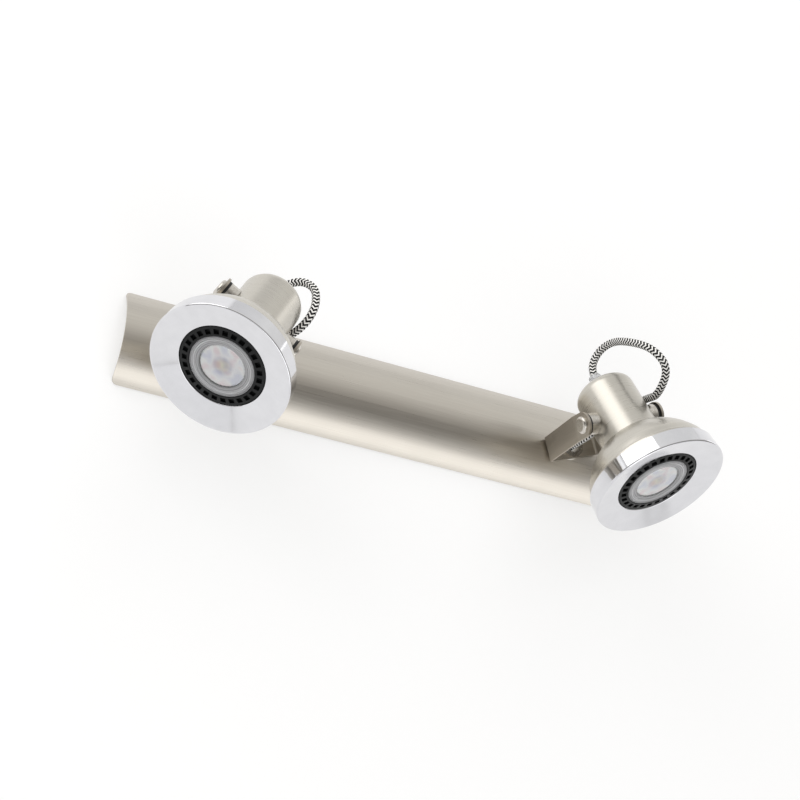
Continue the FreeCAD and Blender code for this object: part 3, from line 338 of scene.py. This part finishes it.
for side in SIDES:
    way = -1 if side == "left" else 1
    places = [Vector((way * HEAD_ALONG, -CABLE_START, 0))]
    places += [Vector((way * along, -out, up)) for along, out, up in LEAD_POINTS]
    lead = spline_object(f"{side}_sheathed_lead", places, LEAD_STEPS_PER_POINT)
    lead.data.bevel_depth = LEAD_RADIUS
    lead.data.bevel_resolution = LEAD_ROUNDNESS
    lead.data.use_fill_caps = True
    lead.data.materials.append(sheath)
    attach(lead, "bar")
    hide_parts(f"{side}_inner_lead")


# The curved bar
# Rolled from 1.2 mm steel sheet into an open trough, which hangs on the wall bracket by two
# bridges welded across it. Nickel plated and brushed along its length.
def dress(names, material):
    """Give CAD nodes their finish, in the slots they came with."""
    for name in names:
        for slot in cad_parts[name].material_slots:
            slot.material = material


def satin_nickel(name, place, stretch, tones, roughness):
    """Brushed and nickel plated steel. The grain is fine noise drawn out along the brushing, in
    the frame of the piece that was brushed; stretch is how often it varies in a metre."""
    nickel = new_material(name)
    coordinates = add_node(nickel, "ShaderNodeTexCoord").outputs["Object"]
    own_place = add_node(nickel, "ShaderNodeMapping", {"vector_type": "TEXTURE"}, {
        "Vector": coordinates,
        "Location": place.to_translation(),
        "Rotation": place.to_euler(),
    })
    drawn_out = add_node(nickel, "ShaderNodeMapping", {}, {
        "Vector": own_place.outputs[0], "Scale": stretch,
    })
    grain = add_node(nickel, "ShaderNodeTexNoise", {}, {
        "Vector": drawn_out.outputs[0], "Scale": 1.0, "Detail": 4.0, "Roughness": 0.65,
    })
    # handling and plating leave patches about 25 mm wide
    patches = add_node(nickel, "ShaderNodeTexNoise", {}, {
        "Vector": coordinates, "Scale": 40.0, "Detail": 2.0,
    })
    tone = add_node(nickel, "ShaderNodeValToRGB", {}, {"Fac": grain.outputs["Fac"]})
    ramp_between(tone, [(0.25, tones[0]), (0.75, tones[1])])
    matt = add_node(nickel, "ShaderNodeMapRange", {}, {
        "Value": grain.outputs["Fac"],
        "From Min": 0.3,
        "From Max": 0.7,
        "To Min": roughness - 0.03,
        "To Max": roughness + 0.04,
    })
    patchy = add_node(nickel, "ShaderNodeMath", {"operation": "MULTIPLY_ADD"}, {
        0: patches.outputs["Fac"], 1: 0.06, 2: matt.outputs[0],
    })
    shader = add_node(nickel, "ShaderNodeBsdfPrincipled", {}, {
        "Base Color": tone.outputs["Color"],
        "Metallic": 1.0,
        "Roughness": patchy.outputs[0],
        "Normal": add_node(nickel, "ShaderNodeBump", {}, {
            "Strength": 0.06, "Distance": 0.00004, "Height": grain.outputs["Fac"],
        }).outputs[0],
    })
    add_node(nickel, "ShaderNodeOutputMaterial", {}, {"Surface": shader.outputs[0]})
    return nickel


# Satin nickel, brushed lengthwise with a fine belt: a warm grey metal whose highlights smear
# across the grain. Real scratches are 0.1 mm wide and 40 mm long; drawn 0.5 mm wide, which shows.
bar_nickel = satin_nickel(
    "satin_nickel_brushed_along_the_bar", Matrix.Identity(4), (25, 2000, 2000),
    ("#C2BCB3", "#CFCAC1"), 0.27,
)
dress(["bar_cover"], bar_nickel)

# The bridges, the wall bracket and the earth screw
# Plain pressed strip: the bracket is screwed to the wall through two slots, and each bridge has a
# window that drops over one of its hooks. All zinc plated, never meant to be seen.
def grained_finish(name, scale, detail, tones, shader, roughness=None, bump=None):
    """A finish with one grain of noise; scale is how often it varies in a metre. The grain sets
    the colour, between the tones. Roughness, where given, is two pairs of grain and roughness, and
    bump is a strength and a depth. What else the finish needs is given for the shader."""
    finish = new_material(name)
    coordinates = add_node(finish, "ShaderNodeTexCoord").outputs["Object"]
    grain = add_node(finish, "ShaderNodeTexNoise", {}, {
        "Vector": coordinates, "Scale": scale, "Detail": detail,
    })
    tone = add_node(finish, "ShaderNodeValToRGB", {}, {"Fac": grain.outputs["Fac"]})
    ramp_between(tone, tones)
    inputs = {"Base Color": tone.outputs["Color"], **shader}
    if roughness:
        (grain_low, rough_low), (grain_high, rough_high) = roughness
        inputs["Roughness"] = add_node(finish, "ShaderNodeMapRange", {}, {
            "Value": grain.outputs["Fac"],
            "From Min": grain_low,
            "From Max": grain_high,
            "To Min": rough_low,
            "To Max": rough_high,
        }).outputs[0]
    if bump:
        strength, depth = bump
        inputs["Normal"] = add_node(finish, "ShaderNodeBump", {}, {
            "Strength": strength, "Distance": depth, "Height": grain.outputs["Fac"],
        }).outputs[0]
    principled = add_node(finish, "ShaderNodeBsdfPrincipled", {}, inputs)
    add_node(finish, "ShaderNodeOutputMaterial", {}, {"Surface": principled.outputs[0]})
    return finish


# Bright zinc plate on steel, dipped and passivated: cool grey, cloudy, with a faint warm and blue
# spangle a few millimetres wide.
zinc = grained_finish(
    "passivated_zinc_plate", 260.0, 5.0, [(0.3, "#AEB4BA"), (0.5, "#BFC1C2"), (0.7, "#CCC8BC")],
    {"Metallic": 1.0}, roughness=((0.3, 0.28), (0.7, 0.45)), bump=(0.08, 0.0001),
)
dress(["hanging_bridges", "wall_bracket", "earth_screw"], zinc)

# The supply grommet
# A rubber ring with two lips, pushed into the bracket's cable hole.

# Moulded black rubber: nearly black, dull, with a fine dusty grain of about 0.3 mm.
rubber = grained_finish(
    "moulded_black_rubber", 3300.0, 3.0, [(0.35, "#161617"), (0.75, "#252526")],
    {"Roughness": 0.62}, bump=(0.3, 0.00005),
)
dress(["supply_grommet"], rubber)

# The terminal block
# A three pole block of white nylon, held on the bracket by a screw, with a brass clamp in each pole.

# Injection moulded nylon: milky off-white, half matt, slightly see-through at thin edges, with
# the 0.2 mm grain of a spark-eroded mould.
nylon = grained_finish(
    "moulded_white_nylon", 5000.0, 2.0, [(0.3, "#DEDBD2"), (0.7, "#EBE9E2")],
    {
        "Roughness": 0.45,
        "IOR": 1.53,
        "Subsurface Weight": 0.15,
        "Subsurface Radius": (0.002, 0.0018, 0.0015),
        "Subsurface Scale": 0.5,
    },
    bump=(0.1, 0.00004),
)
dress(["terminal_block"], nylon)

# Turned brass: yellow metal, bright on the machined faces and browner where it has tarnished, in
# spots of about 1.5 mm.
brass = grained_finish(
    "turned_brass", 700.0, 4.0, [(0.3, "#A98442"), (0.6, "#D2B063")],
    {"Metallic": 1.0}, roughness=((0.3, 0.42), (0.7, 0.22)),
)
dress(["terminal_clamps"], brass)
dress(["terminal_screw"], zinc)

# The swivel joints
# Under each yoke a hollow threaded pin goes through the bar between two nylon washers; a ring nut
# holds the yoke outside, and inside a tabbed washer meets a lug that stops a full turn.
for side in SIDES:
    dress([f"{side}_friction_washer", f"{side}_inner_pad"], nylon)
    dress([f"{side}_stop_lug", f"{side}_stop_washer", f"{side}_inner_nut"], zinc)

# Tumbled and nickel plated turned steel: smooth and bright, with scuffs of about 1 mm left by the
# tumbling.
polished = grained_finish(
    "nickel_plated_turned_steel", 900.0, 5.0, [(0.3, "#BDB8B0"), (0.7, "#D3CFC8")],
    {"Metallic": 1.0}, roughness=((0.35, 0.14), (0.7, 0.28)), bump=(0.05, 0.00003),
)
for side in SIDES:
    dress([f"{side}_nipple", f"{side}_ring_nut"], polished)

# The yokes
# A strip of 1.5 mm steel bent into a U, rounded at both ends, and brushed along its length like
# the bar.
for side in SIDES:
    strip = satin_nickel(
        f"satin_nickel_{side}_yoke", yoke_frame(side), (60, 60, 1800), ("#AAA398", "#B9B2A7"), 0.33,
    )
    dress([f"{side}_yoke"], strip)

# The tilt joints
# Domed pivot screws clamp the yoke's arms on to the head through a rubber ring and a steel spacer
# on each side, into nuts held inside the head.
for side in SIDES:
    dress([f"{side}_rubber_washers"], rubber)
    dress([f"{side}_pivot_screws", f"{side}_pivot_spacers"], polished)
    dress([f"{side}_pivot_nuts"], zinc)

# The heads
# A drawn steel neck with a rounded floor, and a spun bell whose collar plugs into it. The lathe
# leaves the grain running round them.
for side in SIDES:
    spun = satin_nickel(
        f"satin_nickel_spun_{side}_head", head_frame(side), (40, 1700, 40), ("#C1BDB4", "#CBC7BF"), 0.26,
    )
    dress([f"{side}_neck", f"{side}_bell"], spun)

# The chrome rings
# A deep drawn front ring that plugs into the bell's mouth, with a shallow dished face and small
# round edges.

# Bright chrome on copper and nickel: cool and mirror-like, with faint wiping marks 7 mm wide.
chrome = grained_finish(
    "bright_chrome_plate", 140.0, 6.0, [(0.3, "#D9D9DC"), (0.7, "#DEDEE1")],
    {"Metallic": 1.0}, roughness=((0.3, 0.05), (0.75, 0.09)),
)
dress([f"{side}_chrome_ring" for side in SIDES], chrome)

# The rear bushes
# Behind each neck a clear bush leads the cable in and keeps it off the steel.

# Moulded clear polycarbonate: frosted by the mould in spots of 0.8 mm, milky where it is thick,
# with bright edges.
clear_bush = grained_finish(
    "frosted_polycarbonate", 1200.0, 3.0, [(0.3, "#E9EAEC"), (0.7, "#F7F7F8")],
    {"IOR": 1.58, "Transmission Weight": 0.6}, roughness=((0.3, 0.12), (0.7, 0.35)),
)
dress([f"{side}_rear_gland" for side in SIDES], clear_bush)

# The lampholders
# Inside the neck a glazed ceramic twist-lock holder sits on a bent steel strap, whose legs the
# pivot screws hold. The cable's end runs to it through the bush.

# Glazed steatite: warm white body under a thin glassy glaze that pools unevenly, every 3 mm or so.
ceramic = grained_finish(
    "glazed_steatite", 350.0, 2.0, [(0.3, "#E7E1D3"), (0.7, "#F1EDE3")],
    {"Roughness": 0.45, "Coat Weight": 0.8, "Coat Roughness": 0.08}, bump=(0.15, 0.0002),
)
for side in SIDES:
    dress([f"{side}_lampholder"], ceramic)
    dress([f"{side}_holder_bracket"], zinc)
    dress([f"{side}_head_cable"], sheath)

# The lamps
# A 50 mm twist-lock reflector lamp: a grey die-cast body, a black plastic bezel with a ring of
# pockets, a clear front lens with fine rings, and a frosted optic over the light source.

# Painted die-cast aluminium: light grey, half matt, with an orange peel of about 0.5 mm.
housing = grained_finish(
    "painted_die_cast_aluminium", 2000.0, 1.0, [(0.3, "#A6A6A6"), (0.7, "#B2B2B2")],
    {"Metallic": 0.3, "Roughness": 0.45}, bump=(0.2, 0.00005),
)
# Moulded black polycarbonate: deep black in the pockets, grey where the ribs catch the light,
# with a mould grain of about 0.25 mm.
bezel = grained_finish(
    "moulded_black_polycarbonate", 4000.0, 2.0, [(0.3, "#0F1011"), (0.7, "#18191A")],
    {"Roughness": 0.38, "Specular IOR Level": 0.22}, bump=(0.15, 0.00004),
)
for side in SIDES:
    dress([f"{side}_lamp_body"], housing)
    dress([f"{side}_lamp_bezel"], bezel)
    dress([f"{side}_lamp_pins"], brass)


LENS_SIDES = 96
OPTIC_SIDES = 288
OPTIC_RADIUS = 0.0133
# the flutes begin beyond this radius
OPTIC_FACE = 0.0117
OPTIC_FLUTES = 36
FLUTE_DEPTH = 0.0003
# a wall that turns more sharply than this is drawn as an edge
EDGE_DEGREES = 20


def turned(name, side, outline, around, flutes=0):
    """A piece turned about the lamp axis, from radius and depth. Flutes ripple what lies beyond
    the optic's face. Its UV map holds metres across the lamp axis."""
    mesh = bpy.data.meshes.new(name)
    bm = bmesh.new()
    across = bm.loops.layers.uv.new("across")
    rows = []
    for radius, depth in outline:
        ripple = FLUTE_DEPTH if flutes and radius > OPTIC_FACE else 0.0
        row = []
        for step in range(around if radius else 1):
            angle = 2 * math.pi * step / around
            reach = radius - ripple * (0.5 + 0.5 * math.cos(flutes * angle))
            row.append(bm.verts.new((reach * math.cos(angle), -depth, reach * math.sin(angle))))
        rows.append(row)
    for row, after in zip(rows, rows[1:]):
        for step in range(around):
            corners = [row[step % len(row)], row[(step + 1) % len(row)]]
            corners += [after[(step + 1) % len(after)], after[step % len(after)]]
            # on the axis two corners are one
            bm.faces.new(list(dict.fromkeys(corners)))
    for face in bm.faces:
        face.smooth = True
        for loop in face.loops:
            loop[across].uv = (loop.vert.co.x, loop.vert.co.z)
    bmesh.ops.recalc_face_normals(bm, faces=bm.faces)
    bm.to_mesh(mesh)
    bm.free()
    mesh.transform(head_frame(side))
    mesh.set_sharp_from_angle(angle=math.radians(EDGE_DEGREES))
    made = bpy.data.objects.new(name, mesh)
    bpy.context.scene.collection.objects.link(made)
    return made


# Clear moulded acrylic: glassy, with a faint flow haze from the mould. The flange round its
# light guide is moulded in fine rings. The light they gather is painted on as a milky grey, with a
# painted bright band, a painted darker rim, and painted light and shade for each ring.
# the painted light and shade across the flange lie at shares of this radius
LENS_REACH = 0.02
LENS_RING_PITCH = 0.0011
# between these radii the clear middle turns into the flange's painted milky light
PAINTED_FLANGE_START = 0.0133
PAINTED_FLANGE_FULL = 0.0138
lens_acrylic = new_material("clear_moulded_acrylic")
lens_face = add_node(lens_acrylic, "ShaderNodeUVMap", {"uv_map": "across"})
lens_away = add_node(lens_acrylic, "ShaderNodeVectorMath", {"operation": "LENGTH"}, {
    0: lens_face.outputs["UV"],
})
haze = add_node(lens_acrylic, "ShaderNodeTexNoise", {}, {
    "Vector": add_node(lens_acrylic, "ShaderNodeTexCoord").outputs["Object"], "Scale": 400.0, "Detail": 2.0,
})
haze_matt = add_node(lens_acrylic, "ShaderNodeMapRange", {}, {
    "Value": haze.outputs["Fac"], "From Min": 0.3, "From Max": 0.7, "To Min": 0.02, "To Max": 0.09,
})
lens_shader = add_node(lens_acrylic, "ShaderNodeBsdfPrincipled", {}, {
    "Base Color": linear("#FAFBFB"),
    "Roughness": haze_matt.outputs[0],
    "IOR": 1.49,
    "Transmission Weight": 1.0,
})
away_share = add_node(lens_acrylic, "ShaderNodeMath", {"operation": "DIVIDE"}, {
    0: lens_away.outputs["Value"], 1: LENS_REACH,
})
# painted light across the flange: a bright band, and a darker rim
painted_flange_light = add_node(lens_acrylic, "ShaderNodeValToRGB", {}, {"Fac": away_share.outputs[0]})
ramp_between(painted_flange_light, [
    (0.68, "#B8B8BA"), (0.75, "#B4B4B6"), (0.84, "#DCDCDE"), (0.90, "#B8B8BA"), (0.96, "#A0A0A2"),
])
# painted light and shade for each fine ring, 1.1 mm apart
ring_turns = add_node(lens_acrylic, "ShaderNodeMath", {"operation": "MULTIPLY"}, {
    0: lens_away.outputs["Value"], 1: 2 * math.pi / LENS_RING_PITCH,
})
ring_wave = add_node(lens_acrylic, "ShaderNodeMath", {"operation": "SINE"}, {0: ring_turns.outputs[0]})
painted_ring_shading = add_node(lens_acrylic, "ShaderNodeMapRange", {}, {
    "Value": ring_wave.outputs[0], "From Min": -1.0, "From Max": 1.0, "To Min": 0.64, "To Max": 1.1,
})
painted_flange_colour = add_node(lens_acrylic, "ShaderNodeMix", {"data_type": "RGBA", "blend_type": "MULTIPLY"}, {
    0: 1.0, 6: painted_flange_light.outputs["Color"], 7: painted_ring_shading.outputs[0],
})
# the flange's milky grey is painted light, drawn as a dull opaque surface
painted_flange_light_shader = add_node(lens_acrylic, "ShaderNodeBsdfPrincipled", {}, {
    "Base Color": painted_flange_colour.outputs[2], "Roughness": 0.3, "IOR": 1.49,
})
painted_flange_light_share = add_node(lens_acrylic, "ShaderNodeMapRange", {}, {
    "Value": lens_away.outputs["Value"],
    "From Min": PAINTED_FLANGE_START,
    "From Max": PAINTED_FLANGE_FULL,
    "To Min": 0.0,
    "To Max": 0.65,
})
lens_mix = add_node(lens_acrylic, "ShaderNodeMixShader", {}, {
    0: painted_flange_light_share.outputs[0], 1: lens_shader.outputs[0], 2: painted_flange_light_shader.outputs[0],
})
add_node(lens_acrylic, "ShaderNodeOutputMaterial", {}, {"Surface": lens_mix.outputs[0]})

# front lens outline, radius and depth: flat back, raised rim, two fine rings and a low middle
LENS_OUTLINE = [
    (0, 0.04770), (0.0187, 0.04770), (0.01895, 0.04795), (0.01895, 0.04925), (0.0187, 0.04945),
    (0.0182, 0.04945), (0.0180, 0.04915), (0.0176, 0.04915), (0.0174, 0.04940), (0.0171, 0.04940),
    (0.0169, 0.04912), (0.0160, 0.04912), (0.0158, 0.04930), (0.0155, 0.04930), (0.0153, 0.04908),
    (0.0135, 0.04908), (0.0060, 0.04905), (0, 0.04902),
]
# frosted optic outline: a fluted drum with a domed front and a dimple at its middle
OPTIC_OUTLINE = [
    (0, 0.04430), (0.0130, 0.04430), (OPTIC_RADIUS, 0.04450), (OPTIC_RADIUS, 0.04738), (0.0130, 0.04752),
    (OPTIC_FACE, 0.04759), (0.0090, 0.04763), (0.0062, 0.04762), (0.0049, 0.04755), (0.0037, 0.04735),
    (0.0020, 0.04720), (0, 0.04715),
]


# Frosted acrylic over a phosphor dot: white, pebbled, with the phosphor's faint yellow and
# the lens coating's pink and blue veils near the middle.
def frosted_acrylic(side):
    """The finish of one lamp's optic, drawn in rings about that lamp's axis."""
    frosted = new_material(f"frosted_acrylic_optic_{side}")
    lamp_place = add_node(frosted, "ShaderNodeMapping", {"vector_type": "TEXTURE"}, {
        "Vector": add_node(frosted, "ShaderNodeTexCoord").outputs["Object"],
        "Location": head_frame(side).to_translation(),
        "Rotation": head_frame(side).to_euler(),
    })
    across = add_node(frosted, "ShaderNodeVectorMath", {"operation": "MULTIPLY"}, {
        0: lamp_place.outputs[0], 1: (1, 0, 1),
    })
    away = add_node(frosted, "ShaderNodeVectorMath", {"operation": "LENGTH"}, {0: across.outputs[0]})
    share = add_node(frosted, "ShaderNodeMath", {"operation": "DIVIDE"}, {
        0: away.outputs["Value"], 1: OPTIC_RADIUS,
    })
    radial = add_node(frosted, "ShaderNodeValToRGB", {}, {"Fac": share.outputs[0]})
    ramp_between(radial, [
        (0.0, "#E2DDC9"), (0.22, "#DCD3CB"), (0.36, "#D9D6DC"), (0.5, "#F0EEF0"), (0.9, "#FAF9F8"),
        (1.0, "#F0F0F0"),
    ])
    veil = add_node(frosted, "ShaderNodeTexNoise", {}, {
        "Vector": lamp_place.outputs[0], "Scale": 130.0, "Detail": 1.0,
    })
    veil_tone = add_node(frosted, "ShaderNodeValToRGB", {}, {"Fac": veil.outputs["Fac"]})
    ramp_between(veil_tone, [(0.35, "#D9DCF0"), (0.5, "#FFFFFF"), (0.65, "#F5DDE2")])
    tinted = add_node(frosted, "ShaderNodeMix", {"data_type": "RGBA", "blend_type": "MULTIPLY"}, {
        0: 0.6, 6: radial.outputs["Color"], 7: veil_tone.outputs["Color"],
    })
    # pillow lenses of about 1 mm over the face
    pillows = add_node(frosted, "ShaderNodeTexVoronoi", {}, {
        "Vector": lamp_place.outputs[0], "Scale": 1000.0,
    })
    frosted_shader = add_node(frosted, "ShaderNodeBsdfPrincipled", {}, {
        "Base Color": tinted.outputs[2],
        "Roughness": 0.3,
        "IOR": 1.49,
        "Normal": add_node(frosted, "ShaderNodeBump", {}, {
            "Strength": 0.35, "Distance": 0.0001, "Height": pillows.outputs["Distance"],
        }).outputs[0],
    })
    add_node(frosted, "ShaderNodeOutputMaterial", {}, {"Surface": frosted_shader.outputs[0]})
    return frosted


for side in SIDES:
    lens = turned(f"{side}_ringed_lens", side, LENS_OUTLINE, LENS_SIDES)
    lens.data.materials.append(lens_acrylic)
    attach(lens, f"{side}_head")
    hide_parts(f"{side}_lamp_lens")
    optic = turned(f"{side}_fluted_optic", side, OPTIC_OUTLINE, OPTIC_SIDES, OPTIC_FLUTES)
    optic.data.materials.append(frosted_acrylic(side))
    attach(optic, f"{side}_head")
    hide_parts(f"{side}_lamp_optic")

# The wall and the studio
# A white wall just behind the bar, which keeps the shadows, and plain soft lights: a wide fill in
# front, a box at the upper left, a panel below the front, and a small box at the right.
WALL_REACH = 6
WALL_GAP = 0.0006
wall_mesh = bpy.data.meshes.new("wall")
wall_ways = [(-1, -1), (1, -1), (1, 1), (-1, 1)]
wall_corners = [(across * WALL_REACH, 0, up * WALL_REACH) for across, up in wall_ways]
wall_mesh.from_pydata(wall_corners, [], [(0, 1, 2, 3)])
wall = bpy.data.objects.new("wall", wall_mesh)
wall.location = (0, WALL_GAP, 0)
# it takes shadows but throws none, and lights nothing
wall.visible_shadow = False
wall.visible_diffuse = False
bpy.context.scene.collection.objects.link(wall)
paint = new_material("white_wall_paint")
ray = add_node(paint, "ShaderNodeLightPath")
# the part of the white that no lamp gives, and shadows leave
glow = add_node(paint, "ShaderNodeEmission", {}, {"Color": (1, 1, 1, 1), "Strength": 0.45})
seen = add_node(paint, "ShaderNodeMath", {"operation": "MAXIMUM"}, {
    0: ray.outputs["Is Camera Ray"],
    1: add_node(paint, "ShaderNodeMath", {"operation": "MAXIMUM"}, {
        0: ray.outputs["Is Glossy Ray"], 1: ray.outputs["Is Transmission Ray"],
    }).outputs[0],
})
lit = add_node(paint, "ShaderNodeBsdfDiffuse", {}, {"Color": (0.57, 0.57, 0.57, 1)})
both = add_node(paint, "ShaderNodeAddShader", {}, {0: glow.outputs[0], 1: lit.outputs[0]})
plain = add_node(paint, "ShaderNodeBsdfDiffuse", {}, {"Color": (0.8, 0.8, 0.8, 1)})
front = add_node(paint, "ShaderNodeMixShader", {}, {
    0: seen.outputs[0], 1: plain.outputs[0], 2: both.outputs[0],
})
# from behind, the wall isn't there
open_back = add_node(paint, "ShaderNodeMixShader", {}, {
    0: add_node(paint, "ShaderNodeNewGeometry").outputs["Backfacing"],
    1: front.outputs[0],
    2: add_node(paint, "ShaderNodeBsdfTransparent").outputs[0],
})
add_node(paint, "ShaderNodeOutputMaterial", {}, {"Surface": open_back.outputs[0]})
wall_mesh.materials.append(paint)

# the room, as the metal sees it: white below, dark grey ahead, and pale above
world = bpy.data.worlds.new("studio")
world.use_nodes = True
world.node_tree.nodes.clear()
bpy.context.scene.world = world
up = add_node(world, "ShaderNodeSeparateXYZ", {}, {
    "Vector": add_node(world, "ShaderNodeTexCoord").outputs["Generated"],
})
height = add_node(world, "ShaderNodeMapRange", {}, {
    "Value": up.outputs["Z"], "From Min": -1.0, "From Max": 1.0,
})
room = add_node(world, "ShaderNodeValToRGB", {}, {"Fac": height.outputs[0]})
ramp_between(room, [
    (0.0, "#FFFFFF"), (0.18, "#F4F4F4"), (0.30, "#BABAB9"), (0.40, "#82807D"), (0.47, "#807E7B"),
    (0.6, "#B6B4B1"), (0.78, "#EAE9E7"), (0.9, "#F4F4F2"), (1.0, "#E4E4E4"),
])
studio = add_node(world, "ShaderNodeBackground", {}, {"Color": room.outputs["Color"], "Strength": 1.0})
white = add_node(world, "ShaderNodeBackground", {}, {"Color": (1, 1, 1, 1), "Strength": 1.0})
rays = add_node(world, "ShaderNodeLightPath")
shown = add_node(world, "ShaderNodeMath", {"operation": "MAXIMUM"}, {
    0: rays.outputs["Is Camera Ray"], 1: rays.outputs["Is Transmission Ray"],
})
around = add_node(world, "ShaderNodeMixShader", {}, {
    0: shown.outputs[0], 1: studio.outputs[0], 2: white.outputs[0],
})
add_node(world, "ShaderNodeOutputWorld", {}, {"Surface": around.outputs[0]})


def softbox(name, towards, distance, width, height, power, mirrored=True):
    """A soft rectangular light that faces the bar from a direction, so many metres off and watts
    strong; metal may mirror it."""
    light = bpy.data.lights.new(name, "AREA")
    light.shape = "RECTANGLE"
    light.size = width
    light.size_y = height
    light.energy = power
    lamp = bpy.data.objects.new(name, light)
    direction = Vector(towards).normalized()
    lamp.location = distance * direction
    lamp.rotation_euler = direction.to_track_quat("Z", "Y").to_euler()
    lamp.visible_glossy = mirrored
    bpy.context.scene.collection.objects.link(lamp)


softbox("front_fill", (-0.35, -0.80, 0.55), 2.5, 4.5, 4.5, 41.0, mirrored=False)
softbox("upper_left_box", (-0.82, -0.40, 0.56), 2.0, 1.6, 1.6, 11.0)
softbox("floor_panel", (0.25, -0.55, -0.80), 2.0, 2.6, 0.9, 5.6)
softbox("right_box", (0.93, -0.1, 0.36), 2.0, 0.8, 1.0, 2.0)

# The photograph's whites and greys as they are
bpy.context.scene.view_settings.view_transform = "Standard"
